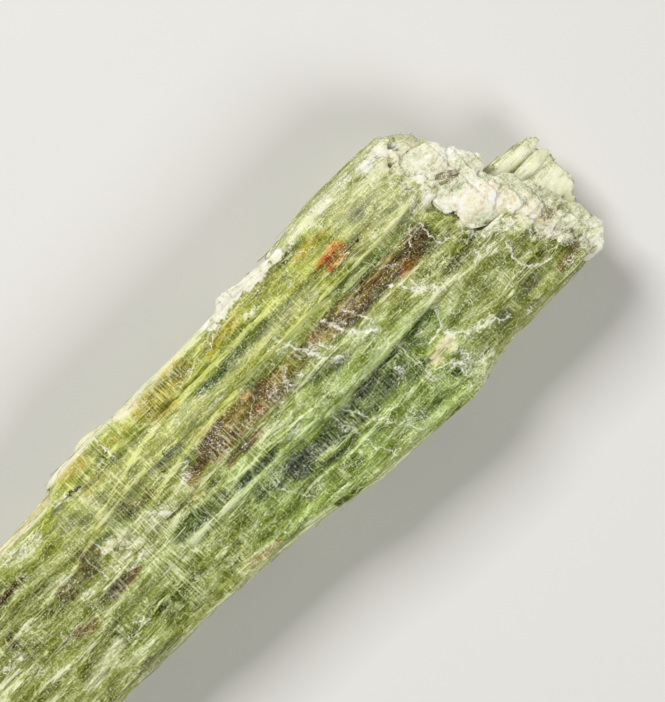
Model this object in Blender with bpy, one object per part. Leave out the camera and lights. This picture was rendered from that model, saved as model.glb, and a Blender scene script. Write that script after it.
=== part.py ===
"""Green kyanite: a bundle of blade crystals grown together, with crusts of cream feldspar.

Run it with  blender --background --python part.py  or from Blender's text editor.

The specimen lies on its broad cleavage face. +X runs along the blades to the splintered head, +Y is
the side that carries the edge crust, and +Z is up. The origin is at the middle of the base.
Kyanite splits into sheets parallel to its broad face, so the bundle is a stack of flat sheets that
break at different lengths, with long laths on top of them. All of it is one solid.
Lengths below are in millimetres.
"""

import math
import random

import bmesh
import bpy
from mathutils import Matrix, Vector, noise

MM = 0.001

# Driving dimensions
HEAD_X = 34.0  # the tip of the longest blade
BASE_X = -34.0  # the broken lower end
GAP = 0.3  # clearance between the crystal and the grains of its crusts
SHEET_OVERLAP = 0.3  # how far neighbouring sheets run into each other

# Long edges of the bundle seen from above, as (x, y)
CRUST_SIDE = [
    (BASE_X, 6.3), (-27.0, 7.2), (-8.3, 7.45), (-7.3, 8.2), (-4.8, 8.35), (-4.2, 8.65), (-3.3, 8.7),
    (-1.8, 8.45), (-0.3, 8.2), (8.0, 8.2), (15.4, 8.5), (19.2, 9.0), (25.2, 8.8), (26.1, 8.6),
]
BARE_SIDE = [
    (BASE_X, -4.6), (-29.0, -5.9), (-12.8, -6.35), (-6.8, -6.45), (-0.8, -6.85), (3.2, -7.2), (7.2, -7.9),
    (9.2, -8.35), (13.2, -8.6), (17.9, -9.0), (19.2, -8.9), (20.7, -8.45), (22.2, -8.1), (31.6, -8.05),
]

# Ends of the bundle seen from above, as (y, x)
HEAD_REAR = [
    (-8.05, 31.6), (-7.6, 32.1), (-6.9, 32.2), (-6.3, 32.1), (-5.2, 32.3), (-3.9, 33.1), (-3.4, 33.6),
    (-1.2, 33.7), (-0.5, HEAD_X), (0.0, 33.4), (0.15, 33.0), (0.25, 33.8), (0.7, 33.9), (1.2, 33.4),
    (1.35, 31.8), (1.6, 30.4), (2.1, 29.2), (2.5, 28.9), (3.0, 29.3), (3.5, 29.1), (4.1, 28.6),
    (5.9, 28.4), (7.2, 28.0), (8.1, 27.0), (8.6, 26.1),
]
HEAD_FRONT = [
    (-7.9, 31.5), (-6.6, 31.0), (-4.6, 30.1), (-2.6, 29.4), (-1.1, 28.2), (-0.1, 26.6), (0.9, 25.6),
    (2.4, 25.0), (3.4, 25.9), (6.4, 25.8), (8.6, 25.3),
]
BASE_REAR = [
    (-5.0, -29.4), (-4.3, -30.6), (-3.3, -30.2), (-3.2, -31.7), (-2.1, -32.4), (-2.0, -33.1), (-0.9, -33.5),
    (0.1, BASE_X), (0.8, -33.9), (0.9, -32.8), (2.4, -33.3), (2.5, -31.8), (3.3, -32.3), (4.2, -31.4),
    (4.3, -30.3), (5.3, -30.6), (6.2, -29.3),
]

# Cleavage sheets from the underside up: bottom z, top z, how far the head is broken back from the
# rear outline (0) to the front one (1), how far the base is broken back, and the inset of the crust
# side and of the bare side
SHEETS = {
    "foot_sheet": (0.0, 1.5, 0.5, 2.4, 1.0, 0.9),
    "rear_sheet": (1.5, 2.9, 0.2, 1.1, 0.3, 0.35),
    "outline_sheet": (2.9, 4.1, 0.0, 0.0, 0.0, 0.0),
    "middle_sheet": (4.1, 5.0, 0.4, 0.9, 0.25, 0.15),
    "upper_sheet": (5.0, 6.3, 0.75, 1.9, 0.45, 0.3),
    "front_sheet": (6.3, 7.2, 1.0, 2.7, 0.7, 0.6),
}
SHEET_SEED = 11
STRIP_WIDTH = (0.8, 2.6)  # width of the fibre bundles that break off together, through all the sheets
STRIP_SHARE = (0.75, 1.3)  # how far a strip breaks back, as a share of its sheet's break
STRIP_SLACK = 0.15  # how much one sheet's strip differs from that
LEAST_STRIP = 0.35
END_SLANT = 0.45  # how far one corner of a strip's end runs ahead of its middle
LEDGE_RUN = (5.0, 10.0)  # how long a sheet's edge runs before it steps in or out
LEDGE_STEP = 0.3
LEDGE_SLANT = 0.35

# Laths on the front face: x from, x to, y from, y to, top z, roll about X and yaw about Z in degrees
LATHS = {
    "crust_side_rim": (-7.0, 25.2, 5.7, 8.2, 7.75, -4.0, 0.0),
    "left_blade": (-22.0, 25.7, 3.3, 6.0, 8.15, 1.5, 0.2),
    "left_blade_foot": (-28.4, -6.5, 4.0, 6.6, 7.8, -3.0, 0.8),
    "inclusion_lath": (-10.5, 23.6, 0.3, 3.6, 7.55, 2.0, 0.4),
    "head_lump": (23.2, 26.0, -0.1, 2.5, 7.7, -3.0, 8.0),
    "centre_crest": (-28.6, 26.4, -2.3, 0.5, 7.9, -2.0, -0.5),
    "right_shoulder": (19.5, 30.0, -6.4, -2.0, 7.85, 2.0, -1.0),
    "bare_side_rim": (5.5, 30.9, -7.9, -5.0, 7.6, 5.0, 0.0),
    "bare_side_rim_foot": (-9.0, 8.0, -6.5, -4.4, 7.5, 4.0, -2.5),
    "lower_right_lath": (-27.2, -4.0, -5.4, -2.2, 7.7, 3.0, 1.0),
    "lower_centre_lath": (-30.2, -9.0, -0.6, 3.9, 7.6, -1.5, -0.6),
}
LATH_DEPTH = 1.6  # how far a lath reaches down into the sheets
LATH_END_SLOPE = (0.4, 2.2)  # how far a lath's top stops short of its foot
LATH_SKEW = 0.9  # how far one corner of a lath's end runs ahead of the other

# Thin slivers that stand on the faces as ridges
SLIVER_SEED = 23
SLIVER_COUNT = 26
SLIVER_LENGTH = (6.0, 22.0)
SLIVER_WIDTH = (0.3, 1.3)
SLIVER_RISE = (0.1, 0.3)
SLIVER_SINK = 0.5  # how far it reaches below the face it stands on
SLIVER_YAW = 1.6
SLIVER_INSET = 1.4  # how far slivers keep from the long edges
SPLINTER_Y = [-5.6, -4.4, -3.1, -1.9, -0.4, 0.75]  # laths that run out over the rear of the head
SPLINTER_TOP = 4.35

# Stubs that stand out of both ends across the sheets: y, top z, how far they stop short of the rear
# outline, width and depth
HEAD_STUBS = [
    (-6.9, 5.6, 0.9, 1.3, 2.4), (-6.2, 2.2, 0.5, 1.0, 1.6), (-4.9, 3.0, 0.4, 1.2, 2.3), (-3.6, 2.0, 0.8, 0.9, 1.3),
    (-2.4, 2.9, 0.7, 1.4, 2.0), (-0.9, 1.9, 1.6, 1.2, 1.4), (3.1, 5.4, 0.9, 1.1, 3.8), (4.6, 4.9, 0.6, 1.6, 2.6),
    (6.1, 5.9, 1.1, 1.3, 2.7), (6.7, 2.6, 0.7, 1.2, 1.9), (5.2, 1.9, 1.0, 1.5, 1.2),
]
BASE_STUBS = [
    (-3.9, 3.4, 0.3, 1.3, 2.1), (-2.7, 5.7, 1.5, 1.1, 2.5), (-1.5, 2.6, 0.9, 1.2, 2.0), (-0.3, 4.9, 0.5, 1.5, 1.9),
    (0.6, 6.6, 2.4, 1.3, 2.6), (1.7, 2.9, 0.3, 1.1, 2.4), (2.8, 5.4, 0.8, 1.2, 2.9), (3.8, 2.4, 1.2, 1.0, 1.6),
    (4.9, 4.7, 0.7, 1.3, 3.3),
]
STUB_LENGTH = 7.0

# Chips and grooves: x, y, z of the middle, then half length, half width and half depth
CHIPS = {
    "gold_pit": (18.6, -5.2, 8.1, 1.7, 1.0, 0.8),
    "frost_pit": (20.8, -7.6, 7.6, 1.9, 1.1, 0.7),
    "crackle_pit": (12.4, 1.2, 7.9, 1.8, 0.9, 0.7),
    "shoulder_pit": (26.8, -3.9, 8.15, 1.6, 0.9, 0.6),
    "lower_pit": (-6.4, 0.9, 7.75, 1.9, 1.0, 0.6),
    "lower_corner_pit": (-16.5, 5.2, 8.0, 2.4, 0.8, 0.6),
    "rim_groove": (3.5, 5.75, 8.0, 9.5, 0.25, 0.7),
    "inclusion_groove": (7.0, 0.25, 7.8, 12.0, 0.3, 0.6),
    "window_groove": (9.0, -2.55, 7.7, 13.0, 0.35, 0.7),
    "side_groove": (-14.0, 7.3, 4.2, 11.0, 0.5, 0.35),
    "bare_side_groove": (12.0, -8.75, 5.2, 10.0, 0.6, 0.3),
    "head_groove": (30.6, -2.4, 5.1, 3.2, 0.3, 0.6),
}

# Grains of the two crusts: x, y, z of the middle, then half length, half width and half height
EDGE_GRAINS = [
    (9.3, 8.0, 4.5, 1.5, 0.7, 1.9), (11.0, 8.1, 5.0, 1.6, 0.9, 2.3), (13.9, 7.95, 5.4, 1.6, 0.65, 2.0),
    (10.2, 8.1, 3.2, 1.9, 0.75, 1.3), (12.7, 7.95, 3.8, 2.0, 0.75, 1.7),
]
HEAD_GRAINS = [
    (27.0, 4.4, 5.9, 1.1, 1.7, 1.4), (28.4, 2.8, 5.6, 1.3, 1.1, 1.5), (27.2, 2.1, 6.5, 1.4, 1.3, 1.2),
    (27.7, 0.3, 6.6, 1.5, 1.3, 1.3), (28.9, -0.9, 6.0, 1.4, 1.1, 1.4), (29.8, -2.3, 5.7, 1.2, 1.4, 1.4),
    (30.6, -3.9, 5.4, 1.0, 1.4, 1.3), (31.0, -5.3, 5.0, 1.1, 1.2, 1.1), (31.1, -6.5, 4.8, 0.9, 1.2, 1.0),
]
GRAIN_ROUGHNESS = 0.3  # share of a grain's radius that its corners move in or out
CHIP_ROUGHNESS = 0.35


def clear_scene():
    for thing in list(bpy.data.objects):
        bpy.data.objects.remove(thing, do_unlink=True)


def new_collection(name):
    collection = bpy.data.collections.new(name)
    bpy.context.scene.collection.children.link(collection)
    return collection


def linear(channel):
    """One sRGB channel from 0 to 255 as a linear value."""
    share = channel / 255
    return share / 12.92 if share <= 0.04045 else ((share + 0.055) / 1.055) ** 2.4


def make_material(name, srgb, roughness, transmission):
    material = bpy.data.materials.new(name)
    material.use_nodes = True
    shader = material.node_tree.nodes["Principled BSDF"]
    shader.inputs["Base Color"].default_value = (*map(linear, srgb), 1.0)
    shader.inputs["Roughness"].default_value = roughness
    shader.inputs["Metallic"].default_value = 0.0
    shader.inputs["Transmission Weight"].default_value = transmission
    return material


def along(points, t):
    """The value at t of a line through (t, value) points that are in order."""
    if t <= points[0][0]:
        return points[0][1]
    for (t0, v0), (t1, v1) in zip(points, points[1:]):
        if t <= t1:
            return v0 + (v1 - v0) * (t - t0) / (t1 - t0)
    return points[-1][1]


def break_strips(y_from, y_to, rng):
    """The strips of fibre that break together, as (from, to, share of the sheet's break)."""
    strips = []
    y = y_from
    while y < y_to:
        y_next = y + rng.uniform(*STRIP_WIDTH)
        strips.append((y, min(y_next, y_to), rng.uniform(*STRIP_SHARE)))
        y = y_next
    return strips


def broken_end(strips, rear, depth_at, y_from, y_to, rng):
    """Points across a splintered end, where each strip breaks at its own length. depth_at gives how
    far the sheet is broken back, and counts along +X."""
    points = []
    for y0, y1, share in strips:
        y0 = max(y0, y_from)
        y1 = min(y1, y_to)
        if y1 - y0 < LEAST_STRIP:
            continue
        middle = (y0 + y1) / 2
        x = along(rear, middle) + depth_at(middle) * (share + rng.uniform(-STRIP_SLACK, STRIP_SLACK))
        slant = rng.uniform(-END_SLANT, END_SLANT)
        points += [(x - slant, y0), (x + slant, y1 - 0.1 * LEAST_STRIP)]
    return points


def stepped_side(edge, x_from, x_to, inset, rng):
    """Points along a long side, which follows the edge at an inset that steps now and then. The inset
    counts towards the middle of the bundle."""
    inwards = -1 if edge[0][1] > 0 else 1
    stations = []
    x = x_from
    depth = inset
    while x < x_to:
        stations.append((x, depth))
        x += rng.uniform(*LEDGE_RUN)
        if x < x_to - LEDGE_SLANT:
            stations.append((x, depth))
            depth = inset * rng.uniform(0.6, 1.0) + (LEDGE_STEP * rng.random() if inset else 0.0)
            x += LEDGE_SLANT
    stations.append((x_to, depth))
    stops = {s for s, _ in stations} | {s for s, _ in edge if x_from < s < x_to}
    return [(s, along(edge, s) + inwards * along(stations, s)) for s in sorted(stops)]


def sheet_outline(head_break, base_break, crust_inset, bare_inset, strips, rng):
    """The outline of one cleavage sheet, counter-clockwise from the bare side's lower corner."""

    def head_depth(y):
        return head_break * (along(HEAD_FRONT, y) - along(HEAD_REAR, y))

    def base_depth(y):
        return base_break

    bare_end = HEAD_REAR[0][1] + head_depth(BARE_SIDE[-1][1] + bare_inset)
    crust_end = HEAD_REAR[-1][1] + head_depth(CRUST_SIDE[-1][1] - crust_inset)
    bare_start = BASE_REAR[0][1] + base_break
    crust_start = BASE_REAR[-1][1] + base_break
    bare = stepped_side(BARE_SIDE, bare_start, min(bare_end, BARE_SIDE[-1][0]), bare_inset, rng)
    crust = stepped_side(CRUST_SIDE, crust_start, min(crust_end, CRUST_SIDE[-1][0]), crust_inset, rng)
    if not head_break:
        return bare + [(x, y) for y, x in HEAD_REAR] + crust[::-1] + [(x, y) for y, x in BASE_REAR[::-1]]
    head_strips, base_strips = strips
    head_span = (bare[-1][1] + LEAST_STRIP, crust[-1][1] - LEAST_STRIP)
    base_span = (bare[0][1] + LEAST_STRIP, crust[0][1] - LEAST_STRIP)
    head = broken_end(head_strips, HEAD_REAR, head_depth, *head_span, rng)
    base = broken_end(base_strips, BASE_REAR, base_depth, *base_span, rng)
    return bare + head + crust[::-1] + base[::-1]


def helper_object(name, mesh, collection):
    """A solid that a Boolean joins or cuts with, and that isn't a piece of its own."""
    thing = bpy.data.objects.new(name, mesh)
    thing.hide_render = True
    thing.display_type = "WIRE"
    collection.objects.link(thing)
    return thing


def flat_solid(name, outline, z_from, z_to, collection):
    """A sheet with this outline, made from a filled and extruded 2D curve and then welded."""
    curve = bpy.data.curves.new(name, "CURVE")
    curve.dimensions = "2D"
    curve.fill_mode = "BOTH"
    curve.extrude = (z_to - z_from) / 2 * MM
    spline = curve.splines.new("POLY")
    spline.points.add(len(outline) - 1)
    for point, (x, y) in zip(spline.points, outline):
        point.co = (x * MM, y * MM, 0.0, 1.0)
    spline.use_cyclic_u = True
    drawn = bpy.data.objects.new(name + "_outline", curve)
    bpy.context.scene.collection.objects.link(drawn)
    graph = bpy.context.evaluated_depsgraph_get()
    mesh = bpy.data.meshes.new_from_object(drawn.evaluated_get(graph))
    bpy.data.objects.remove(drawn, do_unlink=True)
    shape = bmesh.new()
    shape.from_mesh(mesh)
    bmesh.ops.remove_doubles(shape, verts=shape.verts, dist=1e-6)
    bmesh.ops.translate(shape, verts=shape.verts, vec=(0, 0, (z_from + z_to) / 2 * MM))
    bmesh.ops.recalc_face_normals(shape, faces=shape.faces)
    shape.to_mesh(mesh)
    shape.free()
    return helper_object(name, mesh, collection)


def sheet_stack(collection):
    rng = random.Random(SHEET_SEED)
    strips = (
        break_strips(HEAD_REAR[0][0], HEAD_REAR[-1][0], rng),
        break_strips(BASE_REAR[0][0], BASE_REAR[-1][0], rng),
    )
    sheets = []
    for name, (z_from, z_to, head, base, crust, bare) in SHEETS.items():
        outline = sheet_outline(head, base, crust, bare, strips, rng)
        sheets.append(flat_solid(name, outline, z_from, z_to + SHEET_OVERLAP, collection))
    return sheets


def lath(name, size, place, slopes, skews, roll, yaw, collection):
    """A long bar whose top stops short of its foot at both ends. place is the middle of its top."""
    length, width, depth = size
    shape = bmesh.new()
    bmesh.ops.create_cube(shape, size=1.0)
    for corner in shape.verts:
        x, y, z = corner.co
        end = x > 0
        x += skews[end] * y / length
        if z > 0:
            x -= math.copysign(slopes[end] / length, x)
            y *= 0.9
        corner.co = Vector((x * length, y * width, (z - 0.5) * depth)) * MM
    turn = Matrix.Rotation(math.radians(yaw), 4, "Z") @ Matrix.Rotation(math.radians(roll), 4, "X")
    bmesh.ops.transform(shape, verts=shape.verts, matrix=Matrix.Translation(Vector(place) * MM) @ turn)
    mesh = bpy.data.meshes.new(name)
    shape.to_mesh(mesh)
    shape.free()
    return helper_object(name, mesh, collection)


def end_pair(rng, low, high):
    """One random value for each end of a lath."""
    return (rng.uniform(low, high), rng.uniform(low, high))


def front_laths(collection):
    rng = random.Random(SLIVER_SEED)
    for name, (x0, x1, y0, y1, top, roll, yaw) in LATHS.items():
        slopes = end_pair(rng, *LATH_END_SLOPE)
        skews = end_pair(rng, -LATH_SKEW, LATH_SKEW)
        place = ((x0 + x1) / 2, (y0 + y1) / 2, top)
        lath(name, (x1 - x0, y1 - y0, LATH_DEPTH), place, slopes, skews, roll, yaw, collection)


def end_stubs(collection):
    rng = random.Random(SHEET_SEED)
    for end, stubs, rear, side in (("head", HEAD_STUBS, HEAD_REAR, 1), ("base", BASE_STUBS, BASE_REAR, -1)):
        for index, (y, top, short, width, depth) in enumerate(stubs):
            x = along(rear, y) - side * (short + STUB_LENGTH / 2)
            slopes = end_pair(rng, 0.1, 0.7)
            skews = end_pair(rng, -0.5, 0.5)
            size = (STUB_LENGTH, width, depth)
            lath(f"{end}_stub_{index}", size, (x, y, top), slopes, skews, rng.uniform(-6, 6), 0.0, collection)


def face_height(x, y):
    """The top of the highest lath or sheet at a place on the front face."""
    tops = [SHEETS["front_sheet"][1] + SHEET_OVERLAP]
    for x0, x1, y0, y1, top, roll, _ in LATHS.values():
        if x0 < x < x1 and y0 < y < y1:
            tops.append(top + (y - (y0 + y1) / 2) * math.tan(math.radians(roll)))
    return max(tops)


def slivers(collection):
    """Ridges along the front face, and the splinters that run out over the rear of the head."""
    rng = random.Random(SLIVER_SEED)
    for index in range(SLIVER_COUNT):
        length = rng.uniform(*SLIVER_LENGTH)
        x = rng.uniform(-27.0 + length / 2, 24.5 - length / 2)
        lowest = along(BARE_SIDE, x - length / 2) + SLIVER_INSET
        y = rng.uniform(lowest, along(CRUST_SIDE, x - length / 2) - SLIVER_INSET)
        rise = rng.uniform(*SLIVER_RISE)
        place = (x, y, face_height(x, y) + rise)
        size = (length, rng.uniform(*SLIVER_WIDTH), rise + SLIVER_SINK)
        yaw = rng.uniform(-SLIVER_YAW, SLIVER_YAW)
        slopes = end_pair(rng, 1.0, 3.0)
        skews = end_pair(rng, -LATH_SKEW, LATH_SKEW)
        lath(f"sliver_{index:02d}", size, place, slopes, skews, rng.uniform(-6, 6), yaw, collection)
    for index, y in enumerate(SPLINTER_Y):
        end = along(HEAD_REAR, y) - rng.uniform(0.1, 0.9)
        length = rng.uniform(6.0, 9.0)
        place = (end - length / 2, y, SPLINTER_TOP + rng.uniform(0.1, 0.6))
        size = (length, rng.uniform(0.7, 1.2), 1.4)
        skews = end_pair(rng, -0.4, 0.4)
        lath(f"splinter_{index}", size, place, (1.0, 0.6), skews, rng.uniform(-8, 8), 0.0, collection)


def faceted_ball(name, place, radii, rough, collection):
    """A ball of 80 facets, stretched to its half sizes. Its corners move in or out by noise."""
    shape = bmesh.new()
    bmesh.ops.create_icosphere(shape, subdivisions=2, radius=1.0)
    seat = Vector(place)
    for corner in shape.verts:
        swell = 1 + rough * noise.noise(corner.co * 1.7 + seat)
        corner.co = (seat + corner.co * Vector(radii) * swell) * MM
    mesh = bpy.data.meshes.new(name)
    shape.to_mesh(mesh)
    shape.free()
    return helper_object(name, mesh, collection)


def grain_cluster(name, grains, grow, collection):
    balls = []
    for index, (x, y, z, a, b, c) in enumerate(grains):
        radii = (a + grow, b + grow, c + grow)
        balls.append(faceted_ball(f"{name}_{index}", (x, y, z), radii, GRAIN_ROUGHNESS, collection))
    return balls


def boolean(target, operation, collection):
    modifier = target.modifiers.new(operation.lower(), "BOOLEAN")
    modifier.operation = operation
    modifier.operand_type = "COLLECTION"
    modifier.collection = collection
    modifier.solver = "EXACT"


def piece(name, first, rest, material, specimen):
    """A node that is the first solid joined with the rest of its collection."""
    rest.objects.unlink(first)
    specimen.objects.link(first)
    first.name = name
    first.hide_render = False
    first.display_type = "TEXTURED"
    first.data.materials.append(material)
    boolean(first, "UNION", rest)
    return first


def main():
    clear_scene()
    specimen = new_collection("green_kyanite")
    blades = new_collection("blades")
    cutters = new_collection("cutters")

    sheets = sheet_stack(blades)
    front_laths(blades)
    end_stubs(blades)
    slivers(blades)
    for name, (x, y, z, a, b, c) in CHIPS.items():
        faceted_ball(name, (x, y, z), (a, b, c), CHIP_ROUGHNESS, cutters)
    kyanite = make_material("kyanite", (150, 165, 92), 0.3, 0.3)
    crystal = piece("kyanite_crystal", sheets[0], blades, kyanite, specimen)

    feldspar = make_material("feldspar", (232, 222, 200), 0.6, 0.0)
    for name, grains in {"edge_crust": EDGE_GRAINS, "head_crust": HEAD_GRAINS}.items():
        grain_cluster(name + "_seat", grains, GAP, cutters)
        cluster = new_collection(name + "_grains")
        balls = grain_cluster(name, grains, 0.0, cluster)
        piece(name, balls[0], cluster, feldspar, specimen)
    boolean(crystal, "DIFFERENCE", cutters)


main()
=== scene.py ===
# %% [markdown]
# # A green kyanite crystal
#
# Kyanite grows as long flat blades. It splits easily into thin sheets along the broad face, less
# easily along the narrow sides, and it snaps across its length, so a loose crystal is a bundle of
# fibres and laths with ragged ends. Cream feldspar has grown on this one in two places.
#
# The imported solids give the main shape: where each lath, ledge and broken end is. Everything finer is
# made here: a skin of eighty thousand small faces with ridges, fibres and chips, then loose slivers
# on top, and materials with the stains, windows, cracks and frost of the real stone. Lengths in this
# file are in millimetres, and MM turns them into Blender's metres.

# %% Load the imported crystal
import math

import bmesh
import bpy
import numpy as np
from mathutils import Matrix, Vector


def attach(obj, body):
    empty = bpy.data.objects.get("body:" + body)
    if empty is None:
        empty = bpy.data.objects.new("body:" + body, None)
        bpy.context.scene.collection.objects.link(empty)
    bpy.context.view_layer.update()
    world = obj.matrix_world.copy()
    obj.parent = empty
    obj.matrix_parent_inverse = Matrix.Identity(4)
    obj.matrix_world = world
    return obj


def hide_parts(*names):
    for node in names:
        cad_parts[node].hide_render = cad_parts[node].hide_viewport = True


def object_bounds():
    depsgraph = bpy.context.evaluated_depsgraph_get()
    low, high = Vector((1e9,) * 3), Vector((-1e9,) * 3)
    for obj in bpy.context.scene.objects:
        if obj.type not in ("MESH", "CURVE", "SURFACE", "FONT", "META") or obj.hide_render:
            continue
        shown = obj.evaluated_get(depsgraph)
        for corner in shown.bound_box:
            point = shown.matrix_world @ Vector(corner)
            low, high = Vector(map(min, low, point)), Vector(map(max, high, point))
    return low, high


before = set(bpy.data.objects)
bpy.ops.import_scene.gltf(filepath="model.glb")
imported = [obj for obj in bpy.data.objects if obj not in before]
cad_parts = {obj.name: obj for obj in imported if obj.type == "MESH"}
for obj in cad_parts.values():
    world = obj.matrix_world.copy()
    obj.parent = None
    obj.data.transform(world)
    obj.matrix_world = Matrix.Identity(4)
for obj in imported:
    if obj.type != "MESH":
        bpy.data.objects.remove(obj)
cad_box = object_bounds()
MM = 0.001
LOW, HIGH = [np.array(corner) / MM for corner in cad_box]
print("nodes", list(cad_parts), "size in mm", (HIGH - LOW).round(2))

# %% [markdown]
# ## Where the camera stands
#
# The crystal lies on its broad face, and the camera looks straight down on it. It is turned about
# its own axis so that the blades run from the lower left of the picture to the upper right. A long
# lens keeps the sides from showing, as a close-up from some distance does. The picture is sized by a
# plane through the crystal's outline, where one pixel is 0.07 mm.

# %% Camera
PIXEL = 0.07
PICTURE_HEIGHT = 702
BLADE_ANGLE = 45.5  # degrees that the blades climb from left to right
VIEW_CENTRE = (13.2, 0.4)  # x and y of the place in the middle of the picture
SIZED_PLANE = 5.0  # height above the floor of the plane that sizes the picture
LENS = 150.0
SENSOR = 36.0

camera = bpy.data.objects.new("camera", bpy.data.cameras.new("camera"))
bpy.context.scene.collection.objects.link(camera)
bpy.context.scene.camera = camera
camera.data.lens = LENS
camera.data.sensor_width = SENSOR
camera.data.clip_start = 10 * MM
distance = PIXEL * PICTURE_HEIGHT * LENS / SENSOR
camera.location = (VIEW_CENTRE[0] * MM, VIEW_CENTRE[1] * MM, (SIZED_PLANE + distance) * MM)
camera.rotation_euler = (0.0, 0.0, -math.radians(BLADE_ANGLE))
print("camera", round(distance), "mm above the outline")

# %% [markdown]
# ## Colours and nodes
#
# Colours are written as the hex values that a paint program shows, and one function turns them into
# the linear values that Blender works in. One more adds a node: settings are its properties, and
# inputs fill its sockets in order or by name. A node given as an input is linked by its first output.
# A colour ramp gets its stops as pairs of a position and a colour. A new material already has its
# shader, so filling a node's sockets is a function of its own.

# %% Helpers for materials
MATH, VECTOR, RANGE, MIX = "ShaderNodeMath", "ShaderNodeVectorMath", "ShaderNodeMapRange", "ShaderNodeMix"
NOISE, VORONOI, STORED = "ShaderNodeTexNoise", "ShaderNodeTexVoronoi", "ShaderNodeAttribute"
COLOURS = "ShaderNodeValToRGB"  # a scale of colours along a factor


def linear(hex_colour):
    """An sRGB hex colour as linear RGBA."""
    channels = [int(hex_colour[i : i + 2], 16) / 255 for i in (0, 2, 4)]
    return (*[c / 12.92 if c <= 0.04045 else ((c + 0.055) / 1.055) ** 2.4 for c in channels], 1.0)


def fill(tree, node, inputs):
    """Sets a node's inputs or links them, by order or by name, and gives the node back."""
    shown = [socket for socket in node.inputs if socket.enabled]
    for key, value in inputs.items() if isinstance(inputs, dict) else enumerate(inputs):
        socket = node.inputs[key] if isinstance(key, str) else shown[key]
        if isinstance(value, bpy.types.Node):
            value = next(output for output in value.outputs if output.enabled)
        if isinstance(value, bpy.types.NodeSocket):
            tree.links.new(value, socket)
        else:
            socket.default_value = linear(value) if socket.type == "RGBA" else value
    return node


def add(tree, kind, inputs=(), stops=(), **settings):
    """Adds a node, sets its properties and fills its inputs."""
    made = tree.nodes.new(kind)
    for name, value in settings.items():
        setattr(made, name, value)
    for index, (position, colour) in enumerate(stops):
        elements = made.color_ramp.elements
        element = elements[index] if index < 2 else elements.new(position)
        element.position, element.color = position, linear(colour)
    return fill(tree, made, inputs)


def new_material(name):
    """A material with its Principled shader, its tree, and places on its surface in millimetres."""
    material = bpy.data.materials.new(name)
    material.use_nodes = True
    tree = material.node_tree
    place = add(tree, "ShaderNodeTexCoord").outputs["Object"]
    return material, tree, add(tree, VECTOR, [place, 1 / MM], operation="SCALE")


print("middle grey is", round(linear("808080")[0], 3), "of white's light")

# %% [markdown]
# ## Noise for shapes
#
# Blender's noise textures work in materials. For moving eighty thousand points at once the same idea
# is quicker in NumPy: a table of random numbers is read at whole-number places, either as flat cells
# with sharp borders, which break like fibres, or blended smoothly between them.

# %% Noise helpers
TABLE = np.random.default_rng(5).random(8192)
AXIS_STEP = np.array([73, 1571, 4127])  # odd, so that a row reads the whole table before it repeats
SEED_STEP = 389


def cells(points, seed=0):
    """A random value from 0 to 1 for each unit cell that the points lie in."""
    whole = np.floor(points).astype(np.int64)
    return TABLE[(whole @ AXIS_STEP[: whole.shape[1]] + seed * SEED_STEP) % len(TABLE)]


def smooth(points, seed=0):
    """Random values from 0 to 1 at whole-number places, blended smoothly between them."""
    whole = np.floor(points)
    part = points - whole
    part = part * part * (3 - 2 * part)
    total = np.zeros(len(points))
    for corner in np.ndindex(*(2,) * points.shape[1]):
        share = np.prod(np.where(corner, part, 1 - part), axis=1)
        total += share * cells(whole + np.array(corner) + 0.5, seed)
    return total


def facets(points, seed=0):
    """Tilted flat facets, one for each unit cell's own random point, as on a broken mineral."""
    home = np.floor(points)
    nearest = np.full(len(points), 1e9)
    value = np.zeros(len(points))
    for shift in np.ndindex(3, 3, 3):
        cell = home + np.array(shift) - 0.5
        lead = np.stack([cells(cell, seed + axis) for axis in range(3)], axis=1)
        tilt = np.stack([cells(cell, seed + axis) - 0.5 for axis in (3, 4, 5)], axis=1)
        offset = points - (np.floor(cell) + lead)
        distance = np.linalg.norm(offset, axis=1)
        closer = distance < nearest
        nearest[closer] = distance[closer]
        value[closer] = (np.sum(offset * tilt, axis=1) * 2 + cells(cell, seed + 6) - 0.5)[closer]
    return value


def columns(*values):
    return np.stack(values, axis=1)


def ramp(values, low, high):
    """0 below low, 1 above high, and a smooth step between."""
    share = np.clip((values - low) / (high - low), 0, 1)
    return share * share * (3 - 2 * share)


print("noise table:", len(TABLE), "numbers, mean", round(float(TABLE.mean()), 3))

# %% [markdown]
# ## The crystal's skin
#
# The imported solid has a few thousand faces: laths, sheets and stubs with dead straight edges. A
# Remesh modifier in Sharp mode lays an even grid of small quads over it and keeps the edges crisp.
# The copy is squeezed along X first and stretched back after, which makes the quads long in the
# direction of the fibres and fine across them, just where the detail is. A voxel remesh would round
# the ledges off, and cutting the solid with hundreds of planes takes a minute.

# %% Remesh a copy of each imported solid
OCTREE_DEPTH = 8  # the remesh halves the whole this many times


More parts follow.
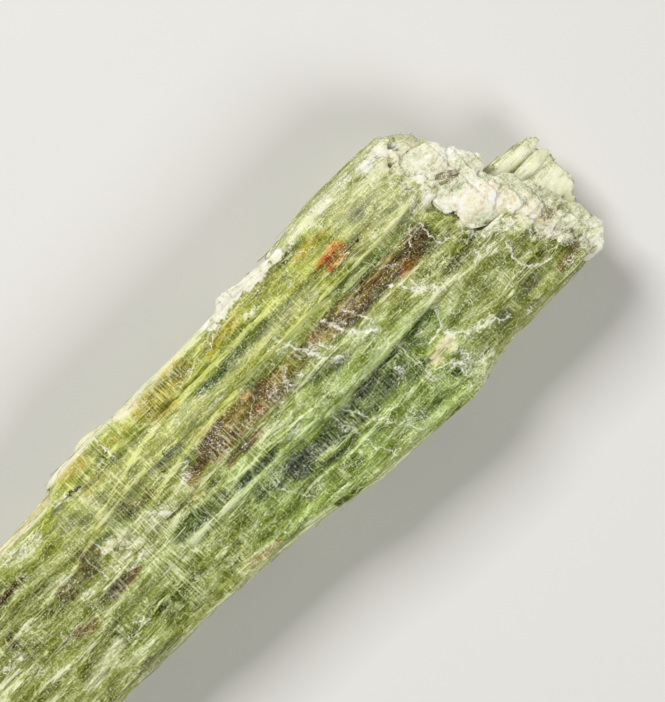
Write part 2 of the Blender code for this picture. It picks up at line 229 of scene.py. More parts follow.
def skin_of(node, pitch, squeeze=1.0):
    """A closed mesh of small even quads through a node's solid."""
    shape = bmesh.new()
    shape.from_mesh(bpy.data.objects[node].data)
    bmesh.ops.remove_doubles(shape, verts=shape.verts, dist=0.001 * MM)
    bmesh.ops.scale(shape, verts=shape.verts, vec=(1 / squeeze, 1, 1))
    mesh = bpy.data.meshes.new(node + "_skin")
    shape.to_mesh(mesh)
    shape.free()
    holder = bpy.data.objects.new(node + "_skin", mesh)
    bpy.context.scene.collection.objects.link(holder)
    remesh = holder.modifiers.new("remesh", "REMESH")
    remesh.mode = "SHARP"
    remesh.octree_depth = OCTREE_DEPTH
    remesh.scale = max(holder.dimensions) / (pitch * MM * 2**OCTREE_DEPTH)
    remesh.use_remove_disconnected = False
    skin = bpy.data.meshes.new_from_object(holder.evaluated_get(bpy.context.evaluated_depsgraph_get()))
    bpy.data.objects.remove(holder, do_unlink=True)
    places = np.empty(len(skin.vertices) * 3, dtype=np.float32)
    skin.vertices.foreach_get("co", places)
    places = places.reshape(-1, 3) * (squeeze, 1, 1)
    skin.vertices.foreach_set("co", places.ravel())
    skin.update()
    print(node, "skin:", len(skin.polygons), "quads")
    return skin


def read(mesh, what):
    """Vertex places in mm, or vertex normals, as an array."""
    values = np.empty(len(mesh.vertices) * 3, dtype=np.float32)
    mesh.vertices.foreach_get(what, values)
    return values.reshape(-1, 3).astype(np.float64) / (MM if what == "co" else 1)


def move(mesh, places):
    mesh.vertices.foreach_set("co", (places * MM).astype(np.float32).ravel())
    mesh.update()


def soften(mesh, passes):
    """Moves every point half way to the middle of its neighbours, a few times over."""
    ends = np.empty(len(mesh.edges) * 2, dtype=np.int32)
    mesh.edges.foreach_get("vertices", ends)
    ends = ends.reshape(-1, 2)
    count = np.bincount(ends.ravel(), minlength=len(mesh.vertices))[:, None]
    places = read(mesh, "co")
    for _ in range(passes):
        total = np.zeros_like(places)
        for axis in range(3):
            total[:, axis] += np.bincount(ends[:, 0], places[ends[:, 1], axis], len(places))
            total[:, axis] += np.bincount(ends[:, 1], places[ends[:, 0], axis], len(places))
        places = (places + total / np.maximum(count, 1)) / 2
    move(mesh, places)


crystal_mesh = skin_of("kyanite_crystal", pitch=0.14, squeeze=2.5)

# %% [markdown]
# ## Lower the steps on the broad face
#
# The solid's ledges and grooves are a millimetre high in places, so that they show in a plain model.
# The real ones are lower and worn. A grid holds the mean height of the broad face around each
# place, and every point moves part of the way there. Softening then rounds what is left.

# %% Lower and soften the steps
STEP_KEPT = 0.5
BROAD_FACE_ABOVE = 6.6
GRID = (1.0, 0.3)  # cells along and across the blades
MARGIN = 8  # empty cells around the grid


def levelled(places, normals, above, grid, kept):
    """The same points, with the steps of the upper face made lower: a share of their height is kept."""
    top = (normals[:, 2] > 0.1) & (places[:, 2] > above)
    spot = np.floor((places[:, :2] - LOW[:2]) / grid).astype(int) + MARGIN
    total = np.zeros(spot.max(0) + MARGIN + 1)
    count = total.copy()
    np.add.at(total, tuple(spot[top].T), places[top, 2])
    np.add.at(count, tuple(spot[top].T), 1)
    for axis in (0, 1, 1, 1):  # the means spread to the next cells, mostly across the blades
        total = (total + np.roll(total, 1, axis) + np.roll(total, -1, axis)) / 3
        count = (count + np.roll(count, 1, axis) + np.roll(count, -1, axis)) / 3
    mean = (total / np.maximum(count, 1e-6))[tuple(spot.T)]
    places = places.copy()
    places[top, 2] = mean[top] + kept * (places[top, 2] - mean[top])
    return places


places, normals = read(crystal_mesh, "co"), read(crystal_mesh, "normal")
move(crystal_mesh, levelled(places, normals, BROAD_FACE_ABOVE, GRID, STEP_KEPT))
soften(crystal_mesh, passes=12)
print("highest point", round(float(read(crystal_mesh, "co")[:, 2].max()), 2), "mm")

# %% [markdown]
# ## Fibres that slip, blades that bend
#
# Real fibres don't all break at one place. A slip gives each little strip of fibres its own shift
# along X, and only faces that look along X show it, so every lath end and both broken ends turn
# ragged. At the base end every splinter is shifted by itself, and further. A slow wave in Y bends
# the long edges, which were ruler-straight until now.

# %% Slip and bend
SLIP = 0.18
STRIP = 0.45  # width of a strip of fibres
BEND = 0.2
SPLINTER = 0.9
BASE_END = (30.5, 33.0)  # splinters begin at one distance from the middle, and are full at the other


def slipped(places, normals):
    across = places[:, 1:] / STRIP
    slip = cells(across, 1) - 0.5 + 0.7 * (cells(across / 2.7, 2) - 0.5)
    places = places.copy()
    places[:, 0] += slip * SLIP * 2 * np.abs(normals[:, 0])
    splinter = 0.6 * cells(across * (2.1, 1.5), 5) + 0.4 * cells(across * (1.1, 0.7), 6)
    places[:, 0] += SPLINTER * splinter * ramp(-places[:, 0], *BASE_END)
    wave = smooth(places / (8.0, 4.0, 3.0), 3) + 0.25 * smooth(places / (3.0, 2.0, 2.0), 4) - 0.62
    places[:, 1] += BEND * 2 * wave
    return places


print("strips of fibres side by side:", round((HIGH - LOW)[1] / STRIP))

# %% [markdown]
# ## Laths and fibres on every face
#
# The broad faces step up and down in narrow lanes along X, and so do the sides. Each lane breaks off
# at its own places, which gives the low ledges that catch the light. Finer ripples stand for single
# fibres, and rough patches for places where the blades were crushed. On the underside all of it only
# goes inwards, because the crystal rests there.

# %% Relief
LANES = [(1.3, 9.0, 0.08), (0.55, 6.0, 0.05), (0.3, 4.0, 0.03)]  # lane width, break length, height
RIPPLE = 0.015
CRUSH = 0.12


def lane_relief(along, across, width, length, height, seed):
    """Steps between lanes. A lane drifts a little, and changes height where it breaks."""
    drift = 0.9 * smooth(columns(along / 11, across / 5), seed)
    lane = np.floor(across / width + drift)
    breaks = along / length + 7 * cells(columns(lane, lane * 0), seed + 1)
    return height * (cells(columns(lane, np.floor(breaks)), seed + 2) - 0.5)


def relief(places, normals):
    """How far each point moves along its normal, in mm."""
    x, y, z = places.T
    across = np.where(np.abs(normals[:, 1]) > np.abs(normals[:, 2]), z + 40, y)
    total = np.zeros(len(x))
    for seed, (width, length, height) in enumerate(LANES):
        total += lane_relief(x, across, width, length, height, 10 * seed)
    total += RIPPLE * (smooth(columns(x / 2.2, across / 0.19), 40) - 0.5) * 2
    crushed = ramp(smooth(places / (2.6, 1.6, 2.0), 41), 0.62, 0.8)
    total += CRUSH * crushed * facets(places / (1.2, 0.7, 0.7), 42)
    total *= 1 - 0.6 * np.abs(normals[:, 0])
    underneath = ramp(-normals[:, 2], 0.3, 0.8)
    return total * (1 - underneath) - np.abs(total) * underneath * 0.6


places, normals = read(crystal_mesh, "co"), read(crystal_mesh, "normal")
places = slipped(places, normals)
places += normals * relief(places, normals)[:, None]
places = np.clip(places, LOW, HIGH)
move(crystal_mesh, places)
print("crystal skin spans", places.min(0).round(2), places.max(0).round(2))

# %% [markdown]
# ## Where the stains, windows and cracks lie
#
# The stone isn't one green. A red-brown inclusion runs down its middle, ochre stains follow the upper
# edge, and there are clear dark windows, crushed white places and bands of cross lines. Each mark is
# a few strokes: a line through (x, y) points, then a half-width and a strength. The marks are stored
# on the points of the skin as attributes, so the material can read them, and so can the slivers that
# are made from the skin. An image would need UVs and would blur; noise alone can't put a stain in
# place. The first strokes are the stains, inside the stone and on it.

# %% Stains
STROKES = {}
STROKES["inclusion"] = [
    ((-13.2, 0.7), (-11.5, 1.1), 0.55, 1), ((-11, 1.3), (-6.2, 1.4), (-4, 1.1), 1.1, 1),
    ((-4, 1.2), (1, 1.5), 0.6, 0.8), ((1, 1.3), (3.8, 1), (9.8, 0.9), 0.95, 1),
    ((-10.4, -0.4), (-7.6, -0.3), 0.35, 0.9), ((-24.8, 1.3), (-22.2, 1.5), 0.65, 0.65),
    ((-22.2, 2.1), (-21.2, 2.1), 0.5, 0.65), ((-28.5, 4.2), (-26, 4.3), 0.2, 0.9),
    ((-17.6, 2.2), (-16.3, 2.1), 0.5, 0.6), ((-22.6, -1), (-20.2, -1), 0.5, 0.75),
    ((-26.2, -1.3), (-25, -1.4), 0.45, 0.55), ((-31, 2), (-29.5, 2), 0.3, 0.5),
    ((12.4, -6.7), (13.2, -6.7), 0.25, 0.7), ((15, -7.2), (17, -6.9), 0.4, 1),
    ((17.2, -3.9), (18, -4.4), 0.45, 0.6), ((13.7, 3), (14.5, 2.6), 0.4, 0.9),
    ((-14.4, -6.4), (-12, -6.8), 0.35, 0.5), ((-40, -1.5), (-36, -1.2), 0.4, 0.7),
    ((-43, 3.2), (-39, 3.4), 0.3, 0.6),
]
STROKES["rust"] = [
    ((4, 4.4), (5.1, 4.5), 0.85, 1), ((-7.1, 2), (-6.4, 2.1), 0.35, 0.5),
    ((-6.6, 0.8), (-4.4, 1.4), 0.4, 0.55), ((-0.4, 1.7), (0.1, 1.5), 0.3, 0.5),
    ((5.2, 1.4), (6, 0.9), 0.35, 0.55), ((7.2, 0.4), (8.4, 0.2), 0.3, 0.6),
    ((9.8, 0.6), (10.1, 0.2), 0.25, 0.5), ((-18.4, 7), (-17.8, 6.9), 0.25, 0.4),
]
STROKES["ochre"] = [
    ((-12.2, 6.4), (-8.2, 6.6), 0.7, 1), ((-6, 6.2), (-3.4, 6.1), 0.5, 0.9),
    ((3, 6.2), (5.2, 6.2), 0.4, 0.8), ((-19.4, 7), (-17.4, 7), 0.4, 0.9),
    ((-18.6, 5.4), (-17.2, 5.4), 0.5, 0.5), ((-16, 6.7), (-14, 6.4), 0.4, 0.6),
    ((-11.6, 5.4), (-10.4, 5.4), 0.5, 0.7), ((2, 5.3), (8, 5.2), 1.2, 0.3),
    ((-4, 6.6), (4, 6.2), 0.8, 0.25), ((4.3, -5.4), (6.1, -5.2), 0.55, 0.7),
    ((-26.8, 6.8), (-21.6, 6.85), 0.25, 1), ((-14.2, -0.3), (-13.4, -0.6), 0.3, 0.6),
    ((13.2, 4.5), (14.5, 5.2), 0.7, 0.5), ((-46, 5.6), (-38, 6), 0.5, 0.6),
]
print("marks so far:", ", ".join(STROKES))

# %% [markdown]
# Clear windows let the eye into the stone, and look dark. The long, weak strokes at the end of their list
# are painted shade: darker bands along the blades. Frost is where blades were crushed, and light
# scatters from every splinter.

# %% Windows and frost
STROKES["window_and_shade"] = [
    ((-7.6, -3.9), (-7.2, -3.9), 0.95, 1), ((-6, -3.8), (-3.4, -4.2), 0.7, 0.8),
    ((-3, -3.9), (2.2, -4.1), 0.9, 0.75), ((-16.5, -1.4), (-14.4, -1.4), 0.6, 0.75),
    ((-14, -1.4), (-12.4, -1.5), 0.5, 0.6), ((-11, -1.9), (-8, -2), 0.35, 0.7),
    ((3, -3.2), (6.6, -3.2), 0.7, 0.9), ((2.5, -5), (4, -5.2), 0.5, 0.6),
    ((-8.2, 4.5), (-6, 4.4), 0.35, 0.7), ((-2.4, -0.6), (0.4, -1), 0.4, 0.6),
    ((4.8, -7.2), (5.2, -7.2), 0.35, 1), ((0.5, -7.2), (4.6, -7.4), 0.8, 0.35),
    ((-20.6, 4), (-19.6, 3.8), 0.3, 0.35), ((-21, 2.2), (-19.6, 2), 0.35, 0.6),
    ((-19, 2.2), (-17.8, 2), 0.5, 0.5), ((9.8, -6.6), (10.2, -6.6), 0.35, 0.7),
    ((13.3, 2.5), (14.2, 2.3), 0.4, 0.6), ((-12.4, 2), (-11.2, 2.1), 0.3, 0.6),
    ((-9.6, -3.6), (-9.2, -4.2), 0.35, 0.7), ((-37, 0.8), (-34, 1.2), 0.5, 0.7),
    # From the second stroke on the next line to the end: painted shade, long dark bands along the blades.
    ((-44, -3), (-41, -2.6), 0.5, 0.6), ((-8.4, 4.7), (-2, 4.7), 0.5, 0.45),
    ((-6, 2.5), (9, 2.4), 0.45, 0.45), ((-10, -3.6), (6, -3.4), 1, 0.5), ((7, -4.2), (12, -4), 1.2, 0.3),
    ((-2, -6.6), (6, -7), 0.9, 0.35), ((-3, -1), (3, -0.8), 0.6, 0.35), ((9, -7), (15, -7), 0.8, 0.3),
]
STROKES["frost"] = [
    ((17.4, 0.7), (20, 0.3), 0.5, 0.5), ((18.2, -1.2), (19.8, -2.8), 1, 0.75),
    ((-2.4, 3), (-1.4, 1.4), (0, -0.6), 0.7, 0.45), ((0.8, 1.4), (2, 0), (3.2, -1.2), 0.6, 0.45),
    ((-5, 1), (-3.4, 0.4), 0.6, 0.5), ((11, 7.3), (12.6, 7.3), (13.5, 6.5), 0.55, 1),
    ((11.9, 6.5), (12.8, 5), (13, 3.5), (12, 2.5), 0.5, 1), ((10.4, 6), (10.7, 6), 0.35, 1),
    ((2.8, 7.3), (5.5, 7.3), 0.3, 0.9), ((6, 7.7), (12, 7.6), 0.4, 0.7),
    ((7.2, -1), (8.2, -2.2), (9, -2.3), 0.4, 0.9), ((11.5, -2.4), (13, -3), 0.4, 0.8),
    ((16, -4), (17, -5.2), (17.7, -6.8), (18.5, -8), 0.9, 1),
    ((12.8, -0.6), (13.6, -1.6), (14.8, -2.6), (16, -3.6), 0.7, 1),
    ((11.2, 3), (11.8, 4.4), (11.4, 6), 0.6, 0.8), ((16.8, 1.2), (17.4, -1), (18.2, -3.4), 0.7, 0.8),
    ((6.5, -5), (7.5, -6), (9.2, -6.3), 0.35, 0.9), ((6, -7), (7, -8), (6.4, -8.6), 0.8, 0.8),
    ((3.6, -6.2), (5.6, -6.6), (5.6, -7.8), 0.45, 0.8), ((11.5, -7.7), (11.8, -7.7), 0.3, 0.9),
    ((-20.4, 1.5), (-19.2, -0.2), 0.6, 0.8), ((-26, 5.7), (-23.5, 5.5), 0.4, 0.9),
    ((-20.9, 6.2), (-20, 6.2), 0.3, 0.9), ((-28.3, 1.8), (-28.1, 1.2), 0.3, 0.9),
    ((-31.7, 0.5), (-30.2, 0.5), 0.3, 0.7), ((-30.2, -1), (-29.5, -1.2), 0.3, 0.8),
    ((-24.5, 2.3), (-24.3, 2.2), 0.3, 0.8), ((-24, 0.4), (-23.5, 0), 0.3, 0.8),
    ((-22.6, -3.4), (-22.4, -4), 0.3, 0.9), ((-12.8, 1.8), (-13.4, 1.2), 0.4, 0.9),
    ((-6.3, -2.1), (-4.8, -1.7), 0.25, 0.9), ((2.2, -3.6), (2.4, -4.2), 0.4, 0.7),
    ((-9.6, -7.2), (-9.2, -7.1), 0.25, 0.8), ((-8.3, 3.3), (-8, 3.3), 0.25, 0.8),
    ((-2.4, 6), (-1.6, 5.8), 0.35, 0.6), ((-17.3, 1.3), (-16, 0.4), 0.35, 0.8),
    ((-36, 4.4), (-34.6, 3.8), 0.4, 0.7), ((-42, 1), (-41, 0.2), 0.4, 0.7),
]
print("marks so far:", ", ".join(STROKES))

# %% [markdown]
# Ridges are the edges of laths that stand out, and the material lightens them with a painted highlight
# where they catch the light. Where the stone is crossed, it has parted straight across the blades, many
# times over.

# %% Ridges and cross lines
STROKES["highlit_ridge"] = [
    ((-31, 1.8), (-26, 1.9), (-24, 2), (-21, 2.7), (-19, 3.2), (-16, 3.5), (-12, 3.4), 0.2, 0.9),
    ((-20.5, 3.4), (-18, 3.8), (-16, 4.2), (-14, 4.8), (-12, 5.1), (0, 5.2), 0.24, 1),
    ((-18.5, 1.1), (-17, 1.4), (-14.5, 1.9), (-10, 2.5), (-4, 3), (0, 2.9), (6, 2.4), 0.24, 1),
    ((-23, -1.5), (-20, -1.4), (-17, -1.1), (-15.5, -0.5), 0.2, 0.8),
    ((-16, -2.4), (-12, -2.3), (-9, -2.6), (-6, -2.5), (-2, -3), (6, -2.5), 0.26, 1),
    ((6, -2.5), (9, -2.3), (10.5, -2.7), (13, -3.2), 0.2, 0.8),
    ((-13, 0.1), (-7, 0.1), (0, -0.1), (9.5, 0), 0.22, 0.8),
    ((-14, -0.4), (-11, -1.2), (-8, -1.6), (-4, -1.8), 0.22, 0.8),
    ((-6, -4.6), (-3, -4.9), (0, -5.6), 0.2, 0.8), ((-9, -5.4), (-5, -5.8), (4, -5.9), 0.22, 0.8),
    ((-28, -4.2), (-25.5, -3.7), (-24.5, -3.4), 0.22, 0.9), ((-24.5, -5.5), (-21.5, -4.8), 0.18, 0.7),
    ((-26.5, -4.4), (-24, -4.4), (-22.3, -3.7), (-19, -3.8), 0.2, 0.9),
    ((-16, 6), (-13, 5.8), (-12, 5.2), 0.22, 0.9), ((-8.5, 5.6), (-6, 6.9), 0.18, 0.8),
    ((-6, 5.6), (-4, 6.4), 0.18, 0.8), ((-4.6, 7), (-2, 6.8), 0.18, 0.7),
    ((0, 2.2), (6.5, 2.2), 0.14, 0.7), ((2, 1.65), (9.5, 1.65), 0.14, 0.8),
    ((2, 3.1), (9, 3.1), (10.8, 3.4), 0.18, 0.9), ((2, 4), (5.5, 4), 0.18, 0.8),
    ((6.5, 4.9), (9.5, 5.1), 0.16, 0.7), ((-26, 6), (-22, 5.9), (-21.5, 6.2), 0.2, 0.9),
    ((-31, -2), (-26, -2.5), (-24, -2), 0.16, 0.7), ((-30, -3.3), (-25, -2.2), 0.16, 0.7),
    ((-23, -0.4), (-20.5, -0.3), (-19.5, 0), 0.18, 0.9), ((-47, 3), (-33, 2.4), 0.22, 0.8),
    ((-46, -0.6), (-38, 0.2), (-31, 0), 0.22, 0.8), ((-45, -3.6), (-34, -3.9), 0.22, 0.8),
    ((-8, -7), (-3, -7.4), (2, -8.2), 0.2, 0.6), ((8, -6.2), (14, -6), 0.18, 0.6),
]
STROKES["crossed"] = [
    ((-19.2, 5.8), (-18.6, -5), 0.8, 1), ((-17.2, 7.8), (-16.8, -2.4), 1.3, 0.9),
    ((-14, 7.4), (-14.2, -2.4), 0.7, 0.8), ((-21.2, 5), (-21.4, -1.4), 0.7, 0.7),
    ((-10.8, 1.4), (-7.2, 0.4), 1.4, 0.45), ((-12.6, 6.4), (-9, 6.4), 0.8, 0.8),
    ((-9.6, -3.6), (-7, -3.6), 0.9, 0.5), ((-12.4, -1.4), (-7.6, -1.6), 0.8, 0.6),
    ((-6, -4), (3, -4), 0.7, 0.35), ((3.3, -3), (3.6, -6.6), 0.5, 1),
    ((-4.2, 5.6), (-3.6, 6.6), 0.6, 0.7), ((-1.2, 3.4), (-1.1, 6.2), 0.5, 0.6),
    ((10.6, 2.6), (10.7, 5), 0.4, 0.7), ((-24, 2), (-23.8, -4), 0.5, 0.5),
    ((-29.8, 1.8), (-29.6, -1), 0.4, 0.6), ((-40, 4), (-39.6, -4), 0.9, 0.6),
    ((17.4, -2), (20.2, -2.2), 1.4, 0.5), ((-34, 5), (-33.8, 0), 0.7, 0.5),
]
print("marks so far:", ", ".join(STROKES))

# %% [markdown]
# Thin edges look pale or cream. Along the upper edge, toward the key light, and in a few weak broad
# strokes, the pale mark is also painted light: a lighter rim and lighter bands. "Coated" is a film of
# feldspar on the blades. "Core" and "mixed" are for the crusts: pure feldspar in the middle of the
# vein, and kyanite crushed into it.

# %% Pale edges and feldspar
STROKES["pale"] = [
    ((16.5, 0.6), (20, 0.2), 1, 0.9), ((17.5, -2.2), (20.3, -2.6), 1.8, 1),
    ((2, 7.8), (13, 7.8), 0.5, 0.5), ((-13, 7.4), (-5, 7.6), 0.4, 1),
    ((-21.2, 7.9), (-14, 8), (-12.6, 7.3), 0.5, 1), ((8, 5), (12, 4), 1.8, 0.45),
    ((12.8, 7.8), (14.2, 7), (15, 5.6), (15.2, 4.2), 0.9, 1), ((-12, 4.1), (2, 4), 0.5, 0.35),
    ((-26.6, 6.8), (-21.6, 6.85), 0.25, 1), ((-26, -6.6), (-13, -7), (-6, -8.4), (2, -9.3), 0.22, 0.6),
    ((-21, 4.2), (-10, 4), 1.4, 0.2), ((15, 3), (16.2, 2.6), 0.7, 0.9),
    ((-19.3, 5.5), (-19, 0.5), 0.35, 0.6), ((-28.2, -4.3), (-24.6, -3.6), 0.4, 0.6),
]
STROKES["cream"] = [
    ((-26.8, 6.8), (-21.6, 6.85), 0.4, 1),
    ((-21.2, 7.7), (-18, 7.9), (-14.6, 7.9), (-12.4, 7.3), 0.4, 0.9),
    ((12, 6.6), (12.8, 5), (13, 3.4), (13.6, 1.8), 0.9, 0.75), ((12.2, 7), (13.7, 6.2), 0.7, 0.9),
    ((13, 0), (13.6, -0.9), (15.2, -1.8), (16, -3.2), 0.6, 0.6),
    ((16.2, 1.4), (17, -1), (18, -3), 0.6, 0.7),
    ((16.6, -4.4), (17.2, -5.6), (17.8, -7.2), (18.6, -8.2), 0.7, 0.6),
    ((-20.2, 1.3), (-19.4, 0), 0.5, 0.4), ((4.7, -5.6), (6.1, -5.4), 0.55, 0.8),
]
STROKES["coated"] = [
    ((-4.6, 7.3), (-3.4, 7.6), (2, 7.5), 0.5, 1), ((10.9, 7.4), (12.4, 7.2), (13.2, 6.6), 0.5, 0.7),
    ((16.6, -3.6), (17.4, -5.4), (18.2, -7.6), 0.7, 0.7), ((12.2, 2.6), (12.9, 4.4), (12.6, 6), 0.5, 0.6),
    ((13, -0.8), (14.6, -1.9), 0.5, 0.4),
]
STROKES["core"] = [
    ((13.2, 0), (14.4, 0.4), (15.4, -0.6), (16.4, -2.2), (17, -3.4), 1, 1),
    ((12.4, 6.8), (13.6, 6.4), 0.5, 0.8),
]
STROKES["mixed"] = [
    ((12.4, 6.4), (13.6, 5), (13.4, 3.6), 1.3, 0.7), ((15.6, 2.6), (16.6, 1), 0.9, 0.7),
    ((17.6, 0), (18.6, -2.6), (18.4, -6), 1.5, 1), ((14.4, -2.6), (16.2, -5.6), 0.8, 1),
    ((13.6, -1), (14.8, -2), 0.6, 0.9), ((13.2, 2.4), (14.2, 2), 0.6, 0.9),
]
print("marks so far:", ", ".join(STROKES))

# %% [markdown]
# The last strokes only shift the green: "warm" and "fresh" tint it, and "lit" and the strokes after
# it are painted light and shade, lighter or darker where the blades lean to the light or away from it.

# %% Shifts of the green
STROKES["warm"] = [
    ((-21, 4.6), (-10, 4.8), (3, 4.8), 3, 1), ((6, 4.6), (11, 4), 2, 0.7),
]
STROKES["fresh"] = [
    ((-9, -5), (-2, -5.6), (3, -6), 4.6, 1), ((-22, -4), (-10, -2.4), 2.4, 0.4),
]
STROKES["lit"] = [
    ((-28.4, 5.8), (-24.4, 5.3), 0.9, 0.9), ((-21, 7.1), (-17.8, 6.7), 0.9, 1),
    ((-15, 6.6), (-10, 5.9), 0.9, 1), ((-8, 5.6), (-6.4, 5.6), 0.7, 0.5), ((5, 7), (5.4, 5.2), 0.8, 1),
    ((-8.8, 3.5), (-5, 3.3), (0.4, 3.4), 0.7, 1), ((-1.4, -1.8), (2.2, -1.9), 0.8, 0.9),
    ((6.6, -1.8), (8.4, -1.8), 0.6, 0.5), ((6.8, -3), (5.6, -4), (4.8, -5.6), 0.7, 0.8),
    ((11.6, 2.2), (12, 0.4), 0.8, 0.8), ((-11.8, 3.3), (-10.6, 3.3), 0.5, 0.6),
    ((0.4, -7.4), (4.4, -7.6), 1, 0.9), ((-19.6, -1.2), (-15.4, -1.5), 0.7, 0.9),
    ((-29, 1.4), (-27.6, 1.4), 0.6, 0.8), ((-21.6, -5.4), (-20.4, -5.6), 0.6, 0.5),
    ((-17, -5.4), (-16.6, -6), 0.5, 0.7), ((-15.6, 7.4), (-15.4, 6.6), 0.6, 0.6),
    ((8, 7), (12, 6.4), 0.8, 0.4), ((17, 0.6), (20, 0), 1.4, 0.8),
    ((17.4, -1.8), (19.8, -3.6), (19.2, -4.8), 1.6, 0.9), ((4.6, -5.5), (6, -5.3), 0.6, 0.8),
    ((-3.2, -6.2), (-2, -6.4), 0.6, 0.8), ((6.6, 2.4), (8.4, 2.2), 0.6, 0.7),
    ((-8.6, 1.6), (-6.4, 2.2), 0.6, 1), ((-11.8, 2.2), (-9.8, 3.2), 0.5, 0.6),
    ((-0.6, 1.4), (0.8, 1.1), 0.5, 1), ((-14.2, 0.9), (-12.8, 0.2), 0.5, 0.9),
    ((-11.2, -0.4), (-10, -0.8), 0.5, 0.6), ((-16, -3), (-10, -2.8), 0.6, 0.6),
    ((-9, 7.1), (-5.2, 7.2), 0.5, 0.7), ((2.2, -4), (6.4, -3.4), 0.7, 0.4),
    ((-2.4, 2.4), (0.6, 2.2), (3, 2.1), 0.5, 0.9), ((-5.2, -2.6), (-3.4, -1.9), 0.6, 0.8),
    ((-4.2, 1.6), (-2.4, 1.2), 0.5, 0.8), ((-3.8, -0.7), (-2.2, -1), 0.5, 0.7),
    ((-11.4, -3.8), (-10.2, -4.2), 0.6, 0.8), ((2.6, 5.8), (6.4, 5.4), 0.8, 1),
    ((6.6, -4), (8.4, -3.4), 0.6, 0.7), ((-9.6, -6.8), (-7.6, -6.8), 0.6, 0.8),
    ((13, -6.8), (15.6, -6.6), 0.7, 0.5), ((-14.6, 3.8), (-13.4, 3.6), 0.5, 0.6),
    ((5.4, -8.4), (6.6, -8.2), 0.5, 0.7), ((-3.6, 7), (-1.4, 6.8), 0.5, 0.6),
    ((-26.6, 6.8), (-21.8, 6.85), 0.4, 1), ((3, 6), (6, 6), 0.6, 1), ((-24.4, 6), (-22, 6), 0.6, 1),
    ((-7.4, 3), (-4.8, 3), 0.6, 1), ((-0.8, -4.2), (0, -4.2), 0.5, 0.8),
    ((-6.8, -6.2), (-5.8, -6.2), 0.6, 0.9), ((2.4, -1), (4, -1.2), 0.5, 0.4),
    ((11.4, -4.4), (12.2, -4.4), 0.5, 0.6), ((14.2, -4.4), (15, -4.4), 0.5, 0.6),
    ((-13, 6), (-11, 5.6), 0.6, 0.4),
]
STROKES["painted_shade"] = [
    ((-22.2, 2), (-21.8, 0), 0.8, 1), ((-27.6, -3.4), (-24, -3.2), 0.9, 0.7),
    ((-20.6, -4.8), (-17.8, -5), 1.2, 1), ((-16, -5.4), (-14.6, -4.4), 1, 1),
    ((-12.6, -4), (-11, -4), 1.2, 0.9), ((-10.6, 1.6), (-9, 1.6), 0.6, 0.6),
    ((8.6, -0.3), (10.4, -0.5), (12.4, -0.9), 1.2, 0.9), ((11, -5.4), (13.2, -5.8), 0.9, 0.6),
    ((13.4, -4.6), (16.6, -5.2), 1.1, 0.9), ((-17.4, 2.4), (-12.6, 2.6), 0.8, 1),
    ((-7.2, -3.8), (-6, -4.3), 0.8, 0.8), ((-11.4, -6.6), (-9.6, -6.6), 0.5, 0.6),
    ((-6.6, -3), (-6, -4.6), (-3.4, -5), 0.7, 0.6), ((10, 2.6), (12.4, 3.2), 0.7, 0.9),
    ((13.6, 5), (14.4, 4), 0.8, 0.5), ((1, -4.6), (2.6, -6), 0.8, 0.4),
    ((-28.4, -0.5), (-27, -0.6), 0.5, 0.8), ((-27.6, 2.4), (-26, 2.4), 0.6, 0.6),
    ((-29.6, 2), (-29.2, -0.6), 0.6, 0.7), ((5.4, 0.2), (6.6, -0.6), 0.6, 0.6),
    ((-9, 2), (-8.8, -1), 0.5, 0.7), ((-0.4, -3.2), (0.6, -3.2), 0.6, 0.6),
    ((9.2, -4.2), (10, -4.2), 0.7, 0.6), ((-2, 4.3), (1.4, 4.1), 0.8, 0.6),
    ((3, 2.8), (8.4, 2.8), 0.6, 0.4), ((2.6, 0.2), (8, 0.2), 0.5, 0.7),
    ((-8, -6.1), (-4.4, -6.8), 0.6, 0.9), ((-2.8, -5.2), (1.8, -5.4), 0.5, 0.5),
]
print("strokes in all marks:", sum(len(strokes) for strokes in STROKES.values()))

# %% [markdown]
# A stroke reaches down through the stone, but a stain on the broad face should stop at its edge. So
# a mark fades out down the sides, and goes on over every ledge that looks up.

# %% Store the marks on the skin
MARK_DEPTH = (6.0, 7.2)  # on a side face, a mark on the front fades out between these heights
LEDGE_DEPTH = (2.4, 3.4)  # and on a ledge that looks up, between these
ROW = (0.5, 1.0)  # width and height of a row of fibres
ROWS = 100  # more than the rows side by side or one above another


def stroke_strength(places, points, radius, strength):
    """How strongly a stroke colours each point: full by its line, half as strong at its radius."""
    nearest = np.full(len(places), 1e9)
    for start, end in zip(points, points[1:]):
        start, run = np.array(start), np.subtract(end, start)
        share = np.clip((places - start) @ run / (run @ run), 0, 1)
        nearest = np.minimum(nearest, np.linalg.norm(places - start - share[:, None] * run, axis=1))
    return strength * (1 - ramp(nearest, 0.5 * radius, 1.5 * radius))


def marked(places, normals, name, depth=MARK_DEPTH):
    """The strongest of a mark's strokes at each point. Strokes count from the view's centre."""
    seen_from_centre = places[:, :2] - VIEW_CENTRE
    strength = np.zeros(len(places))
    for *points, radius, peak in STROKES[name]:
        strength = np.maximum(strength, stroke_strength(seen_from_centre, points, radius, peak))
    up = ramp(normals[:, 2], 0.1, 0.5) * ramp(places[:, 2], *LEDGE_DEPTH)
    return strength * np.maximum(ramp(places[:, 2], *depth), up)


def store(mesh, name, values):
    mesh.attributes.new(name, "FLOAT", "POINT").data.foreach_set("value", values.astype(np.float32))


def room_along(places):
    """How far each point is from the bundle's nearer end, along its own row of fibres."""
    rows = np.floor(places[:, 1:] / ROW).astype(np.int64) + ROWS // 2  # none below 0
    row = rows[:, 0] * ROWS + rows[:, 1]
    far = np.full(row.max() + 1, -1e9)
    near = np.full(row.max() + 1, 1e9)
    np.maximum.at(far, row, places[:, 0])
    np.minimum.at(near, row, places[:, 0])
    return np.minimum(far[row] - places[:, 0], places[:, 0] - near[row])


